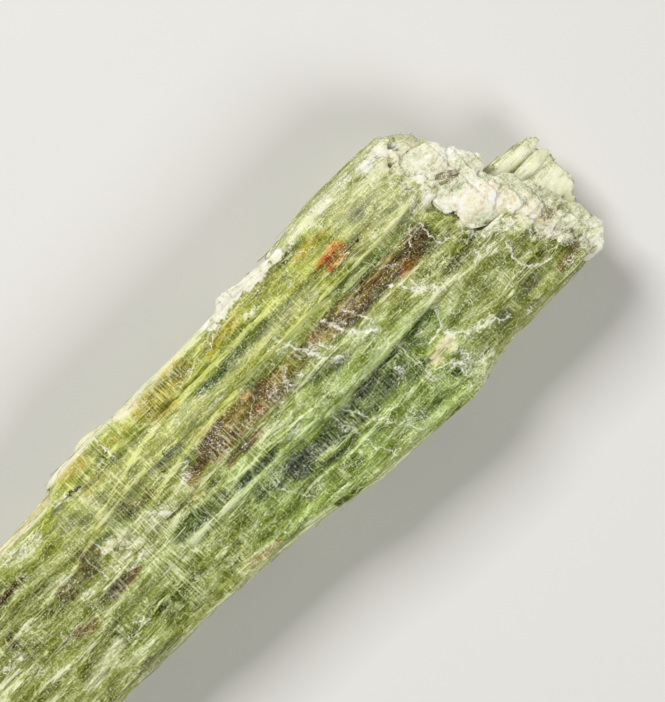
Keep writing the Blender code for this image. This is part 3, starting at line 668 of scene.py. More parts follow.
normals = read(crystal_mesh, "normal")
for name in STROKES:
    store(crystal_mesh, name, marked(places, normals, name))
store(crystal_mesh, "room", room_along(places))
print("stored", ", ".join(STROKES))

# %% [markdown]
# Two of the marks are shape as well as colour: ridges stand a little proud, and crushed places are
# broken into small facets.

# %% Raise the ridges, roughen the crushed places
RIDGE_HEIGHT = 0.05
CRUSHED_HEIGHT = 0.12
CRUSHED_GRAIN = (0.7, 0.45, 0.45)

lift = RIDGE_HEIGHT * marked(places, normals, "highlit_ridge")
lift += CRUSHED_HEIGHT * marked(places, normals, "frost") * facets(places / CRUSHED_GRAIN, 70)
lift *= ramp(normals[:, 2], 0.0, 0.5)
places = np.clip(places + normals * lift[:, None], LOW, HIGH)
move(crystal_mesh, places)
print("ridges raised by up to", round(float(lift.max()), 2), "mm")

# %% [markdown]
# ## Loose slivers and fibres
#
# A broken kyanite surface bristles with thin flakes that have half come away. They repeat by the
# thousand and follow the surface, so Geometry Nodes makes them: points are scattered over the skin,
# each gets a thin bar that lies along X and turns flat onto the surface, and noise then bends every
# bar a little differently. The bars take the stains stored under them, and a random tint.

# %% The sliver tree
RANDOM = "FunctionNodeRandomValue"
SLIVER_SIZES = [
    ("Density", "Float", 0.7 / MM**2), ("Seed", "Int", 3), ("Shortest", "Float", 0.8 * MM),
    ("Longest", "Float", 4.0 * MM), ("Width", "Float", 0.09 * MM), ("Height", "Float", 0.05 * MM),
    ("Skew", "Float", 0.1), ("Roughness", "Float", 0.12 * MM),
]
RARITY = 2.2  # the higher, the fewer long slivers
BEND_PER_MM = 0.5  # bends to a millimetre


def sliver_tree(material):
    tree = bpy.data.node_groups.new("slivers", "GeometryNodeTree")
    face = tree.interface
    face.new_socket("Geometry", in_out="INPUT", socket_type="NodeSocketGeometry")
    for name, kind, value in SLIVER_SIZES:
        face.new_socket(name, in_out="INPUT", socket_type="NodeSocket" + kind).default_value = value
    face.new_socket("Geometry", in_out="OUTPUT", socket_type="NodeSocketGeometry")
    given = add(tree, "NodeGroupInput").outputs
    scatter = add(
        tree, "GeometryNodeDistributePointsOnFaces",
        {"Mesh": given["Geometry"], "Density": given["Density"], "Seed": given["Seed"]},
    )
    normal = scatter.outputs["Normal"]
    upright = add(tree, "FunctionNodeAlignRotationToVector", {"Vector": normal}, axis="Z", pivot_axis="X")
    back = add(tree, MATH, [given["Skew"], -1.0], operation="MULTIPLY")
    roll = add(tree, RANDOM, {"Min": -0.5, "Max": 0.5, "Seed": 11}, data_type="FLOAT")
    pitch = add(tree, RANDOM, {0: back, 1: given["Skew"], "Seed": 12}, data_type="FLOAT")
    yaw = add(tree, RANDOM, {0: back, 1: given["Skew"], "Seed": 13}, data_type="FLOAT")
    spin = add(tree, "FunctionNodeEulerToRotation", [add(tree, "ShaderNodeCombineXYZ", [roll, pitch, yaw])])
    rotation = add(tree, "FunctionNodeRotateRotation", [upright, spin], rotation_space="LOCAL")
    chance = add(tree, RANDOM, {0: 0.0, 1: 1.0, "Seed": 14}, data_type="FLOAT")
    rare = add(tree, MATH, [chance, RARITY], operation="POWER")
    length = add(tree, RANGE, {"Value": rare, "To Min": given["Shortest"], "To Max": given["Longest"]})
    end_on = add(tree, MATH, [add(tree, "ShaderNodeSeparateXYZ", [normal])], operation="ABSOLUTE")
    shortened = add(tree, RANGE, [end_on, 0.3, 0.8, 1.0, 0.2])
    run = add(tree, MATH, [length, shortened], operation="MULTIPLY")
    room = add(tree, "GeometryNodeInputNamedAttribute", {"Name": "room"}, data_type="FLOAT")
    longest = add(tree, MATH, [room, 1.7 * MM, 0.3 * MM], operation="MULTIPLY_ADD")
    run = add(tree, MATH, [run, longest], operation="MINIMUM")
    thickness = add(tree, RANDOM, {0: 0.3, 1: 1.0, "Seed": 15}, data_type="FLOAT")
    width = add(tree, MATH, [given["Width"], thickness], operation="MULTIPLY")
    height = add(tree, MATH, [given["Height"], thickness], operation="MULTIPLY")
    bar = add(tree, "GeometryNodeMeshCube", {"Size": (1, 1, 1), "Vertices X": 7})
    placed = add(
        tree, "GeometryNodeInstanceOnPoints",
        {"Points": scatter, "Instance": bar, "Rotation": rotation,
         "Scale": add(tree, "ShaderNodeCombineXYZ", [run, width, height])},
    )
    tint = add(tree, RANDOM, {0: 0.0, 1: 1.0, "Seed": 17}, data_type="FLOAT")
    tinted = add(
        tree, "GeometryNodeStoreNamedAttribute", {"Geometry": placed, "Name": "tint", "Value": tint},
        data_type="FLOAT", domain="INSTANCE",
    )
    real = add(tree, "GeometryNodeRealizeInstances", {"Geometry": tinted})
    noise = add(tree, NOISE, {"Vector": add(tree, "GeometryNodeInputPosition"), "Scale": BEND_PER_MM / MM})
    centred = add(tree, VECTOR, [noise.outputs["Color"], (0.5, 0.5, 0.5)], operation="SUBTRACT")
    offset = add(tree, VECTOR, [centred, given["Roughness"]], operation="SCALE")
    bent = add(tree, "GeometryNodeSetPosition", {"Geometry": real, "Offset": offset})
    finished = add(tree, "GeometryNodeSetMaterial", {"Geometry": bent, "Material": material})
    add(tree, "NodeGroupOutput", {"Geometry": finished})
    return tree


print("sliver settings:", ", ".join(name for name, _, _ in SLIVER_SIZES))

# %% [markdown]
# ## Kyanite
#
# Kyanite is a clear aluminium silicate with a high refractive index, 1.72, and a little iron or
# vanadium makes it green. Its cleavages shine like glass, but thousands of cracks between the fibres
# scatter the light, so the stone looks milky green, crossed by fine pale threads, with only a few
# clear dark windows. The material is a Principled shader with some light scattered below a smooth
# surface. A few helpers come first: noise measured in millimetres, threads, stains with frayed
# edges, and patterns that show only where something else allows them.

# %% Helpers for patterns
SOFTLY = {"interpolation_type": "SMOOTHSTEP"}


def grain(tree, source, per_mm, detail=2.0, roughness=0.5):
    """Noise with this many features to a millimetre along X, Y and Z."""
    spread = add(tree, VECTOR, [source, per_mm], operation="MULTIPLY")
    return add(tree, NOISE, {"Vector": spread, "Scale": 1.0, "Detail": detail, "Roughness": roughness})


def threads(tree, noise, thickness):
    """Thin lines where a noise crosses its middle value."""
    distance = add(tree, MATH, [add(tree, MATH, [noise, 0.5], operation="SUBTRACT")], operation="ABSOLUTE")
    return add(tree, RANGE, [distance, 0.0, thickness, 1.0, 0.0], **SOFTLY)


def gated(tree, pattern, gate, *change, **settings):
    """A pattern times a gate, whose values are first mapped from one range to another."""
    return add(tree, MATH, [pattern, add(tree, RANGE, [gate, *change], **settings)], operation="MULTIPLY")


def stained(tree, mark, fray, reach, border=(0.3, 0.5), peak=1.0):
    """A stored mark with an edge that frays by a noise. A higher border keeps to the stroke's core."""
    ragged = add(tree, RANGE, [fray, 0.3, 0.7, -reach, reach])
    sum_of_both = add(tree, MATH, [mark, ragged], operation="ADD")
    edge = add(tree, RANGE, [sum_of_both, *border], **SOFTLY)
    inside = gated(tree, edge, mark, 0.02, 0.2, **SOFTLY)
    return add(tree, MATH, [inside, peak], operation="MULTIPLY")


print("patterns: grain, threads, gated, stained")

# %% [markdown]
# The material starts with the marks, but for the two of the crusts, and with the noises that several
# patterns share. Some noises read places that another noise has pushed about, so that nothing runs
# dead straight.

# %% Start the kyanite
kyanite, tree, in_mm = new_material("kyanite")
mark = {
    name: add(tree, STORED, attribute_name=name).outputs["Fac"]
    for name in (*STROKES, "tint") if name not in ("core", "mixed")
}
slow = add(tree, NOISE, {"Vector": in_mm, "Scale": 0.14, "Detail": 1.0}).outputs["Color"]
swaying = add(tree, VECTOR, [slow, (0.0, 1.6, 1.6), in_mm], operation="MULTIPLY_ADD")
quick = add(tree, NOISE, {"Vector": in_mm, "Scale": 0.8, "Detail": 2.0}).outputs["Color"]
crooked = add(tree, VECTOR, [quick, (0.6, 0.6, 0.6), in_mm], operation="MULTIPLY_ADD")
fibres = grain(tree, swaying, (0.5, 6.0, 6.0), 3.0, 0.6)  # 2 mm long, and a sixth of a millimetre wide
patches = grain(tree, in_mm, (0.45, 0.9, 0.9), 4.0)  # 2 mm long and 1 mm wide
gate = grain(tree, in_mm, (0.5, 0.9, 0.9), 3.0, 0.6)  # as large, and says where others show
jagged = grain(tree, in_mm, (1.4, 1.8, 1.8), 4.0, 0.7)  # half a millimetre, with rough borders
grit = grain(tree, in_mm, (7.0, 9.0, 9.0), 2.0, 0.8)  # a tenth of a millimetre
fray = add(tree, MATH, [add(tree, MATH, [fibres, patches], operation="ADD"), 0.5], operation="MULTIPLY")
print("marks for kyanite:", ", ".join(mark))

# %% [markdown]
# ### Threads
#
# A thread is where a noise crosses its middle value: that gives long curved lines of even width,
# unlike blobs of plain noise. Pale threads run along the blades, straight across them, and wander.
# Real fibres are 0.02 to 0.1 mm wide, and the finest threads drawn here are about 0.08 mm, a little
# coarser than life, or they wouldn't show. The dark windows and the inclusion have fewer of them.

# %% Threads along, across and wandering
along = threads(tree, grain(tree, swaying, (0.16, 1.5, 1.5), 1.0), 0.016)
finer = threads(tree, grain(tree, swaying, (0.25, 4.8, 4.8), 0.0), 0.04)
lengthwise = add(tree, MATH, [along, finer], operation="MAXIMUM")
lengthwise = gated(tree, lengthwise, gate, 0.42, 0.6, 0.1, 0.8, **SOFTLY)
for name in ("window_and_shade", "inclusion"):
    lengthwise = gated(tree, lengthwise, mark[name], 0.2, 0.8, 1.0, 0.35)
broad = threads(tree, grain(tree, in_mm, (3.4, 0.22, 0.22), 1.0), 0.045)
narrow = threads(tree, grain(tree, in_mm, (5.0, 0.4, 0.4), 0.0), 0.045)
crossing = add(tree, MATH, [broad, narrow], operation="MAXIMUM")
allowed = add(tree, MATH, [mark["crossed"], 0.22, gate.outputs["Color"]], operation="MULTIPLY_ADD")
crossing = gated(tree, crossing, allowed, 0.46, 0.68, 0.1, 1.0, **SOFTLY)
crossing = add(tree, MATH, [crossing, 0.8], operation="MULTIPLY")
hairs = threads(tree, grain(tree, in_mm, (0.5, 0.8, 0.8), 1.0), 0.012)
longer = threads(tree, grain(tree, crooked, (0.3, 0.6, 0.6), 1.0), 0.009)
wandering = add(tree, MATH, [hairs, longer], operation="MAXIMUM")
wandering = gated(tree, wandering, gate, 0.45, 0.6, 1.0, 0.4, **SOFTLY)
wandering = add(tree, MATH, [wandering, 0.45], operation="MULTIPLY")
lines = add(tree, MATH, [lengthwise, crossing], operation="MAXIMUM")
lines = add(tree, MATH, [lines, wandering], operation="MAXIMUM")
print("nodes for the threads:", len(tree.nodes))

# %% [markdown]
# ### Light and dark
#
# One number says how light each place is: soft bands, patches, fibres and grit add up to it, gaps
# dim it, painted light and shade strokes raise and lower it, ridges brighten it as a painted
# highlight, and threads brighten it. The green comes from this number, and so do the colours of the
# stains, so the fibres run on under a stain.

# %% How light each place is
TONES = (1.06, 1.84)  # the tones that become the darkest and the lightest shade

tone = add(tree, MATH, [patches, 0.6], operation="MULTIPLY")
for part, share in ((grain(tree, swaying, (0.12, 1.0, 1.0), 1.0), 0.9), (fibres, 0.6), (grit, 0.8)):
    tone = add(tree, MATH, [part, share, tone], operation="MULTIPLY_ADD")
shade = add(tree, RANGE, [tone, *TONES])
gaps = grain(tree, swaying, (0.7, 1.8, 1.8), 1.0)
shade = gated(tree, shade, gaps, 0.34, 0.5, 0.75, 1.0, **SOFTLY)
# Painted light and shade: the lit strokes lighten, the shaded strokes darken, and pale adds rim light.
for name, share in (("lit", 0.3), ("painted_shade", -0.3), ("window_and_shade", -0.05), ("pale", 0.3), ("tint", 0.15)):
    shade = add(tree, MATH, [mark[name], share, shade], operation="MULTIPLY_ADD")
# Ridges: a painted highlight along the edges of laths.
highlit_ridge = stained(tree, mark["highlit_ridge"], fibres, 0.5, (0.55, 1.0))
shade = add(tree, MATH, [gated(tree, highlit_ridge, gate, 0.4, 0.6, 0.2, 0.6), shade], operation="ADD")
shade = add(tree, MATH, [lines, 0.5, shade], operation="MULTIPLY_ADD")
print("nodes with light and dark:", len(tree.nodes))

# %% [markdown]
# ### The green and its stains
#
# Each scale of colours runs from the darkest shade to the lightest. The green is warmer along the
# stained edge and fresher in the thick middle. Ochre is a thin film, so it multiplies the green, and
# the others replace it.

# %% Body, stains and windows
BODY = [(0.0, "262b02"), (0.2, "50590c"), (0.45, "838b36"), (0.7, "b2ba6e"), (1.0, "ebedc2")]
INCLUSION = [(0.0, "120800"), (0.35, "3c2003"), (0.65, "6c4e0c"), (1.0, "b6a664")]
WINDOW_AND_SHADE = [(0.0, "080e00"), (0.4, "223408"), (0.75, "485e16"), (1.0, "a0b064")]
RUST = [(0.0, "3a1000"), (0.35, "8a3c0a"), (0.65, "bc6a20"), (1.0, "e6b070")]
CRUSHED = [(0.0, "cfcda6"), (0.35, "f0edd2"), (0.7, "fbf9ea"), (1.0, "ffffff")]
WARM, FRESH = "f2f4a8", "eeffe2"
OCHRE, CREAM = "ecd688", "fbefca"
THREAD, PALE, WHITE, BLACK = "eef0c8", "efefd6", "fdfbe8", "14120c"

ochre = stained(tree, mark["ochre"], fray, 0.7, (0.1, 0.9))
inclusion = stained(tree, mark["inclusion"], fray, 0.9, (0.12, 0.95), 0.93)
rust = stained(tree, mark["rust"], jagged, 1.2, (0.2, 1.3), mark["rust"])
# Clear dark windows, and bands of painted shade.
window_and_shade = stained(tree, mark["window_and_shade"], fray, 0.6, (0.08, 0.85))
cream = stained(tree, mark["cream"], jagged, 0.9, (0.2, 1.1), 0.75)
coated = stained(tree, mark["coated"], jagged, 0.8, (0.2, 0.9), 0.9)
# The pale mark bleaches the green; along the upper edge and in weak bands it is painted light.
bleach_and_rim_light = gated(tree, mark["pale"], fibres, 0.35, 0.65, 0.2, 0.7)
pallor = gated(tree, lines, window_and_shade, 0.2, 0.9, 0.5, 0.35)

colour = add(tree, COLOURS, [shade], stops=BODY)
for share, cast in ((mark["warm"], WARM), (mark["fresh"], FRESH)):
    colour = add(tree, MIX, [share, colour, cast], data_type="RGBA", blend_type="MULTIPLY")
colour = add(tree, MIX, [bleach_and_rim_light, colour, PALE], data_type="RGBA")
colour = add(tree, MIX, [ochre, colour, OCHRE], data_type="RGBA", blend_type="MULTIPLY")
for share, scale in ((inclusion, INCLUSION), (rust, RUST), (window_and_shade, WINDOW_AND_SHADE)):
    colour = add(tree, MIX, [share, colour, add(tree, COLOURS, [shade], stops=scale)], data_type="RGBA")
for share, flat in ((cream, CREAM), (pallor, THREAD)):
    colour = add(tree, MIX, [share, colour, flat], data_type="RGBA")
colour = add(tree, MIX, [coated, colour, add(tree, COLOURS, [shade], stops=CRUSHED)], data_type="RGBA")
print("nodes with the stains:", len(tree.nodes))

# %% [markdown]
# ### Cracks
#
# A crack is a line through a few points, which a noise shakes until it is jagged; the strokes would
# be too coarse for it. The white ones are full of crushed stone and air, and a few short ones have
# filled with black dirt. The shader works out the distance from the line at every place.

# %% Single cracks
SEAMS = [  # points as in the strokes, and the width of the line
    ((-2.3, 3.4), (-1.8, 2.1), (-1.35, 1.2), (-0.45, -0.2), (0.2, -0.9), 0.09),
    ((1, 2), (1.2, 1.25), (1.5, 0.5), (2.4, -0.6), (3.2, -1.1), 0.09),
    ((2.4, 1.6), (3, 0.7), (3.4, -0.7), 0.05), ((5.8, 3), (6.2, 1.8), (7.4, 1), 0.025),
    ((6, 0.35), (7, -0.8), (7.6, -1.6), (8.6, -2.3), 0.07), ((-1.6, 1.6), (-0.4, 1), 0.05),
    ((7.1, -2.9), (6.6, -4.2), (5, -4.4), 0.06), ((6.4, -4.6), (6.9, -5.2), (8, -6.1), (9.5, -6.5), 0.07),
    ((-2.4, -3.3), (-1.5, -4.9), (-0.8, -6), (0.6, -8.3), 0.035),
    ((-9.6, -3.3), (-9.1, -4.5), (-8, -6.3), 0.025),
    ((-3.3, -2.7), (-2.8, -5.4), (-2.6, -6.9), (-1.7, -8.6), 0.025),
    ((9.4, -6), (9.6, -6.9), (10.4, -7), 0.05),
    ((13.9, -3.2), (13.3, -4.6), (13.6, -5.6), (15, -6.3), 0.07),
    ((10.6, 2), (10.4, 0.8), (10.6, -0.2), (11.2, -0.3), 0.05), ((-22.2, 2.2), (-22, 0), 0.03),
    ((-16.9, 1.3), (-15.8, 0.1), 0.06), ((-21.05, 2.6), (-21, 1.4), 0.05), ((-17.5, 8), (-17.4, 6), 0.05),
    ((-15.9, 7.8), (-15.8, 5.4), 0.05), ((3.5, -2.8), (3.6, -6.6), 0.025), ((8.9, 1.25), (10, 2.3), 0.06),
    ((-9.1, 5.7), (-4.6, 7), 0.025), ((-7, 5.7), (-4.1, 6.9), 0.025),
    ((5.7, -6.8), (5.9, -7.4), (5.2, -7.7), 0.05), ((-38, 2.4), (-37.4, -1.4), 0.05),
    ((-1.35, 1.2), (-0.6, 0.9), (-0.2, 1.3), 0.035), ((-0.3, 1.2), (-0.2, 0.4), (0.3, 0.2), 0.04),
    ((-2.9, 0.9), (-2.6, 0.2), 0.035), ((-5.4, 0.7), (-5, 0), 0.035), ((-4.3, 0.2), (-3, 1.6), 0.03),
    ((2, -1.9), (2.6, -2.4), (3.1, -2.5), 0.035), ((-7.4, 0.8), (-6, 1.7), 0.025),
]
BLACK_SEAMS = [
    ((-20.2, 6), (-19.6, 6.05), (-19.3, 5.8), (-18.9, 5.9), 0.08), ((6.6, 4.2), (6.75, 4.15), 0.11),
    ((-13.35, 3.3), (-13.3, 3.55), (-12.9, 3.5), 0.07),
]
SHAKE = 1.1  # mm at most; the noise's mean is half of that, and is taken off again


def away(tree, source, seams):
    """How far each place is from the nearest seam, seen from above, in widths of that seam."""
    nearest = 1e3
    for *points, width in seams:
        for start, end in zip(points, points[1:]):
            start, run = np.add(start, VIEW_CENTRE), np.subtract(end, start)
            share = add(tree, VECTOR, [source, (*run / (run @ run), 0.0)], operation="DOT_PRODUCT")
            share = add(tree, MATH, [share, -(start @ run) / (run @ run)], operation="ADD", use_clamp=True)
            on_line = add(tree, VECTOR, [share, (*run, 0.0), (*start, 0.0)], operation="MULTIPLY_ADD")
            reach = add(tree, VECTOR, [source, on_line], operation="DISTANCE")
            reach = add(tree, MATH, [reach, width], operation="DIVIDE")
            nearest = add(tree, MATH, [nearest, reach], operation="MINIMUM")
    return nearest


shaking = grain(tree, in_mm, (1.8, 1.8, 1.8), 3.0, 0.7).outputs["Color"]
shaken = add(tree, VECTOR, [shaking, (SHAKE, SHAKE, 0.0), in_mm], operation="MULTIPLY_ADD")
centring = (-SHAKE / 2, -SHAKE / 2, 0.0)
shaken = add(tree, VECTOR, [shaken, (1.0, 1.0, 0.0), centring], operation="MULTIPLY_ADD")
crack = add(tree, RANGE, [away(tree, shaken, SEAMS), 0.5, 1.8, 1.0, 0.0], **SOFTLY)
crack = gated(tree, crack, jagged, 0.36, 0.56, 0.15, 1.0)
black = add(tree, RANGE, [away(tree, shaken, BLACK_SEAMS), 0.5, 1.6, 0.9, 0.0])
print("nodes with the cracks:", len(tree.nodes))

# %% [markdown]
# ### Frost, crackle and painted glints
#
# Crushed places are hazy and full of a fine web of cracks. Everywhere, the ends of fibres make white
# flecks, and painted glints stand in for the light that they catch. They are a few hundredths of a
# millimetre in life, and about a tenth here.

# %% White on the stone, and painted glints
frost = stained(tree, mark["frost"], jagged, 0.9, (0.2, 1.0))
haze = gated(tree, frost, fray, 0.42, 0.6, 0.0, 0.3)
veins = threads(tree, grain(tree, crooked, (0.3, 0.45, 0.45), 4.0, 0.6), 0.006)
veins = gated(tree, veins, patches, 0.48, 0.6, **SOFTLY)
web = threads(tree, grain(tree, in_mm, (0.8, 1.1, 1.1), 2.0), 0.035)
small_web = threads(tree, grain(tree, in_mm, (1.7, 2.2, 2.2), 1.0), 0.04)
web = add(tree, MATH, [web, small_web], operation="MAXIMUM")
cracks = add(tree, MATH, [web, frost], operation="MULTIPLY")
cracks = add(tree, MATH, [veins, cracks], operation="MAXIMUM")
cracks = add(tree, MATH, [cracks, crack], operation="MAXIMUM")
cracks = add(tree, MATH, [cracks, 0.85], operation="MULTIPLY")
crushed = add(tree, MATH, [frost, 0.03, grit], operation="MULTIPLY_ADD")
crushed = add(tree, MATH, [mark["pale"], 0.05, crushed], operation="MULTIPLY_ADD")
fleck_and_glint = add(tree, RANGE, [crushed, 0.63, 0.7, 0.0, 0.8], **SOFTLY)
# Painted glints: sparse white spots in the colour, standing in for light caught by fibre ends.
glint = grain(tree, in_mm, (8.0, 11.0, 11.0), 1.0)
glint = add(tree, MATH, [gate, 0.5, glint], operation="MULTIPLY_ADD")
glint = add(tree, RANGE, [glint, 0.92, 1.0, 0.0, 0.8])
fleck_and_glint = add(tree, MATH, [fleck_and_glint, glint], operation="MAXIMUM")
fleck_and_glint = gated(tree, fleck_and_glint, window_and_shade, 0.2, 0.9, 1.0, 0.7)
for share, flat in ((haze, PALE), (cracks, WHITE), (fleck_and_glint, WHITE), (black, BLACK)):
    colour = add(tree, MIX, [share, colour, flat], data_type="RGBA")
print("nodes with the white:", len(tree.nodes))

# %% [markdown]
# ### Relief and shine
#
# The patterns also raise the surface by less than a tenth of a millimetre, for the light to catch.
# The mirror reflection is turned far down, because the real one is broken up by ledges far finer
# than the mesh.

# %% Finish of the kyanite
KYANITE_IOR = 1.72

height = add(tree, MATH, [fibres, 0.6, patches], operation="MULTIPLY_ADD")
for part, share in ((lengthwise, 0.35), (crossing, 0.2), (grit, 0.3)):
    height = add(tree, MATH, [part, share, height], operation="MULTIPLY_ADD")
fill(tree, tree.nodes["Principled BSDF"], {
    "Base Color": colour,
    "Normal": add(tree, "ShaderNodeBump", {"Height": height, "Strength": 0.6, "Distance": 0.08 * MM}),
    "Roughness": add(tree, RANGE, [patches, 0.35, 0.7, 0.06, 0.2]),
    "IOR": KYANITE_IOR,
    "Specular IOR Level": 0.04,
    "Subsurface Weight": 0.4,
    "Subsurface Radius": (1.0, 1.0, 0.5),
    "Subsurface Scale": 0.4 * MM,
})
print("kyanite:", len(tree.nodes), "nodes")

# %% [markdown]
# ## Feldspar
#
# The crusts are feldspar with a little quartz: cream white and sugary, because they are made of
# grains a few tenths of a millimetre across. Iron water has stained the seams between grains pink
# and orange. Away from the vein's core the crust thins out into crushed kyanite, pale and greenish,
# and a web of fine white cracks runs through both.

# %% Feldspar
FELDSPAR = [(0.0, "d6c79c"), (0.35, "f2eacb"), (0.65, "fcf8e6"), (1.0, "fffefa")]
MIXED = [(0.0, "8b965e"), (0.35, "b4bb88"), (0.7, "dcdfbc"), (1.0, "f5f5e2")]
PINK, ORANGE, OLIVE = "efcfae", "e0a55e", "76652c"
CRUST_MARKS = ("core", "inclusion", "mixed")
FELDSPAR_IOR = 1.53

feldspar, tree, in_mm = new_material("feldspar")
mark = {name: add(tree, STORED, attribute_name=name).outputs["Fac"] for name in CRUST_MARKS}
crystals = add(tree, VORONOI, {"Vector": in_mm, "Scale": 1.6})
luck = add(tree, "ShaderNodeSeparateColor", [crystals.outputs["Color"]])
sugar = grain(tree, in_mm, (4.0, 4.0, 4.0), 4.0, 0.7)
cloud = grain(tree, in_mm, (0.6, 0.6, 0.6), 3.0)
mottle = grain(tree, in_mm, (1.1, 1.8, 1.8), 4.0, 0.6)
tone = add(tree, MATH, [sugar, mottle], operation="ADD")
tone = add(tree, MATH, [luck, 0.25, tone], operation="MULTIPLY_ADD")
tone = add(tree, RANGE, [tone, 0.8, 1.45])
colour = add(tree, COLOURS, [tone], stops=FELDSPAR)
for hue, low, high in ((PINK, 0.46, 0.62), (ORANGE, 0.56, 0.74)):
    share = add(tree, RANGE, [cloud, low, high, 0.0, 0.55])
    colour = add(tree, MIX, [share, colour, hue], data_type="RGBA")
core = stained(tree, mark["core"], mottle, 0.5)
colour = add(tree, MIX, [core, add(tree, COLOURS, [tone], stops=CRUSHED), colour], data_type="RGBA")
mixed = stained(tree, mark["mixed"], mottle, 0.8, (0.2, 0.8), 0.85)
colour = add(tree, MIX, [mixed, colour, add(tree, COLOURS, [tone], stops=MIXED)], data_type="RGBA")
olive = stained(tree, mark["inclusion"], mottle, 0.5, peak=0.75)
web = threads(tree, grain(tree, in_mm, (0.9, 1.1, 1.1), 3.0, 0.6), 0.03)
small_web = threads(tree, grain(tree, in_mm, (2.2, 2.4, 2.4), 2.0, 0.6), 0.04)
web = add(tree, MATH, [web, small_web], operation="MAXIMUM")
web = add(tree, MATH, [web, 0.7], operation="MULTIPLY")
for share, flat in ((olive, OLIVE), (web, WHITE)):
    colour = add(tree, MIX, [share, colour, flat], data_type="RGBA")
fill(tree, tree.nodes["Principled BSDF"], {
    "Base Color": colour,
    "Normal": add(tree, "ShaderNodeBump", {"Height": sugar, "Strength": 0.6, "Distance": 0.12 * MM}),
    "Roughness": 0.25,
    "IOR": FELDSPAR_IOR,
    "Specular IOR Level": 0.3,
    "Subsurface Weight": 0.5,
    "Subsurface Radius": (1.0, 0.9, 0.7),
    "Subsurface Scale": 0.6 * MM,
})
print("feldspar:", len(tree.nodes), "nodes")

# %% [markdown]
# ## Finish the crystal
#
# Both meshes become objects at the origin. Faces are shaded smooth, except over edges sharper than
# 30 degrees, so that cleavage steps stay crisp. The slivers ride with the same body and take the
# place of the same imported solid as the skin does.

# %% Crystal and slivers
SHARP_EDGE = math.radians(30)


def finished_piece(name, mesh, material, node):
    """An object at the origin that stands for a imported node."""
    piece = bpy.data.objects.new(name, mesh)
    bpy.context.scene.collection.objects.link(piece)
    mesh.materials.clear()
    mesh.materials.append(material)
    mesh.shade_smooth()
    mesh.set_sharp_from_angle(angle=SHARP_EDGE)
    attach(piece, "root")
    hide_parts(node)
    return piece


crystal = finished_piece("blade_bundle", crystal_mesh, kyanite, "kyanite_crystal")
maker = crystal.modifiers.new("slivers", "NODES")
maker.node_group = sliver_tree(kyanite)
graph = bpy.context.evaluated_depsgraph_get()
sliver_mesh = bpy.data.meshes.new_from_object(crystal.evaluated_get(graph))
crystal.modifiers.remove(maker)
move(sliver_mesh, np.clip(read(sliver_mesh, "co"), LOW, HIGH))
finished_piece("slivers", sliver_mesh, kyanite, "kyanite_crystal")
print("slivers:", len(sliver_mesh.polygons), "faces")

# %% [markdown]
# ## The crusts
#
# Each crust's solid is a string of lumps. A fine skin over it is pushed out by about half a
# millimetre, which beds it into the crystal, and softened until the lumps run together. A slow noise
# moves it sideways, so that no round outline is left, and its top is flattened like the broad face.
# Tilted facets at three sizes then break it into blocky grains, the way feldspar splits. The edge
# crust also gets an uneven crown and thins out down the side of the crystal.

# %% Edge crust and head crust
GRAINS = [(1.5, 0.16), (0.6, 0.07), (0.26, 0.03)]  # width, height
CRUST_TOP_ABOVE = 5.0
CRUST_GRID = (0.9, 0.9)
LUMPS_KEPT = 0.2  # of their height
CRUST_DEPTH = (-2.0, -1.0)  # a mark on a crust goes all the way down
WARP, WARP_SIZE = 0.9, 1.3
CROWN_X = [7.9, 8.6, 9.3, 10.1, 11.2, 13.2, 15.0, 15.7]
CROWN_Y = [7.5, 7.8, 8.3, 8.9, 8.7, 8.5, 8.2, 7.4]
CROWN_ROOT = 6.9  # the edge crust is drawn in beyond this y


def crowned(places):
    """The edge crust's outer face, drawn in to its uneven crown, and sunk in below a ragged line."""
    top = np.interp(places[:, 0], CROWN_X, CROWN_Y)
    out = places[:, 1] - CROWN_ROOT
    share = (top - CROWN_ROOT) / out.max()
    ragged = 1.6 + 3.6 * smooth(columns(places[:, 0] / 1.8, places[:, 0] * 0), 96)
    ragged += 0.8 * smooth(columns(places[:, 0] / 0.5, places[:, 2] / 0.5), 97)
    share *= ramp(places[:, 2], ragged, ragged + 1.0)
    places = places.copy()
    places[:, 1] = np.where(out > 0, CROWN_ROOT + out * share, places[:, 1])
    return places


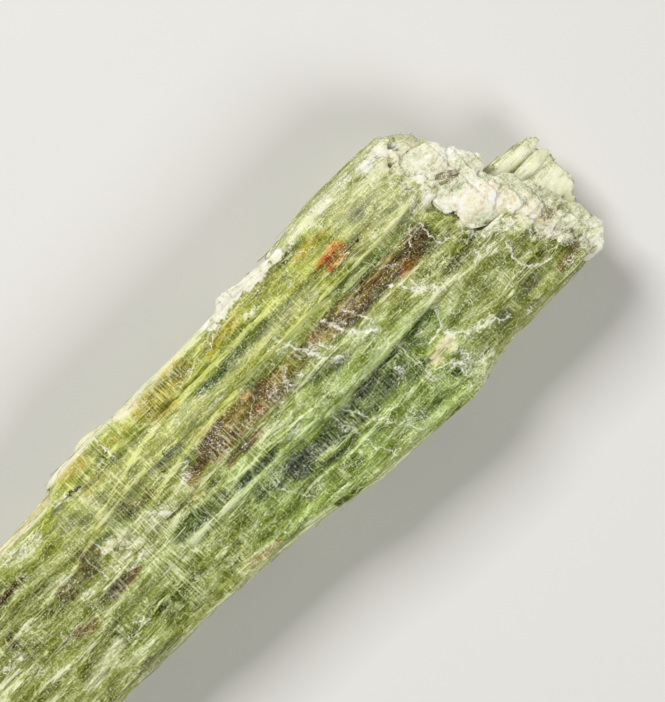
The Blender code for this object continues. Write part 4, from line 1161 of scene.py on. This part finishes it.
def crust(name, node, growth, passes, shaped=None):
    """The crust's skin, grown by some millimetres and softened, with grains all over."""
    mesh = skin_of(node, pitch=0.11)
    move(mesh, read(mesh, "co") + read(mesh, "normal") * growth)
    soften(mesh, passes)
    places = read(mesh, "co")
    for axis in (0, 1):  # the lumps' round outlines turn uneven
        places[:, axis] += WARP * (smooth(read(mesh, "co") / WARP_SIZE, 90 + axis) - 0.5)
    move(mesh, places)
    places, normals = read(mesh, "co"), read(mesh, "normal")
    move(mesh, levelled(places, normals, CRUST_TOP_ABOVE, CRUST_GRID, LUMPS_KEPT))
    if shaped:
        move(mesh, shaped(read(mesh, "co")))
    places, normals = read(mesh, "co"), read(mesh, "normal")
    height = sum(tall * facets(places / (1.5 * width, width, width), 80) for width, tall in GRAINS)
    places = np.clip(places + normals * height[:, None], LOW, HIGH)
    move(mesh, places)
    for kind in CRUST_MARKS:
        store(mesh, kind, marked(places, normals, kind, CRUST_DEPTH))
    finished_piece(name, mesh, feldspar, node)
    print(name, "spans", places.min(0).round(2), places.max(0).round(2))


crust("edge_feldspar", "edge_crust", growth=0.4, passes=40, shaped=crowned)
crust("head_feldspar", "head_crust", growth=0.6, passes=70)

# %% [markdown]
# ## Floor and light
#
# A plain pale floor and soft studio light. The key light is a large panel on the side of the edge
# crust. It stands high and well to the side, so every ridge gets a bright edge and a dark one. A
# weaker panel on the far side fills in, and a pale world keeps the shadows open.

# %% Studio
FLOOR_SIZE = 4000
FLOOR_COLOUR, WORLD_COLOUR = "e4e2de", "e9e6df"

bpy.ops.mesh.primitive_plane_add(size=FLOOR_SIZE * MM)
floor = bpy.context.object
floor.name = "floor"
paint = bpy.data.materials.new("pale_floor")
paint.use_nodes = True
tree = paint.node_tree
fill(tree, tree.nodes["Principled BSDF"], {"Base Color": FLOOR_COLOUR, "Roughness": 0.8})
floor.data.materials.append(paint)


def panel(name, place, size, power):
    """A square soft light that faces the crystal."""
    light = bpy.data.lights.new(name, "AREA")
    light.size = size * MM
    light.energy = power
    lamp = bpy.data.objects.new(name, light)
    lamp.location = [coordinate * MM for coordinate in place]
    aim = -lamp.location
    lamp.rotation_euler = aim.to_track_quat("-Z", "Y").to_euler()
    bpy.context.scene.collection.objects.link(lamp)


panel("key_panel", place=(20, 260, 280), size=160, power=1.2)
panel("far_panel", place=(20, -270, 260), size=180, power=0.7)
world = bpy.data.worlds.new("studio")
bpy.context.scene.world = world
world.use_nodes = True
tree = world.node_tree
fill(tree, tree.nodes["Background"], {"Color": WORLD_COLOUR, "Strength": 0.14})
bpy.context.scene.view_settings.view_transform = "Standard"
print("lights:", ", ".join(light.name for light in bpy.data.lights))
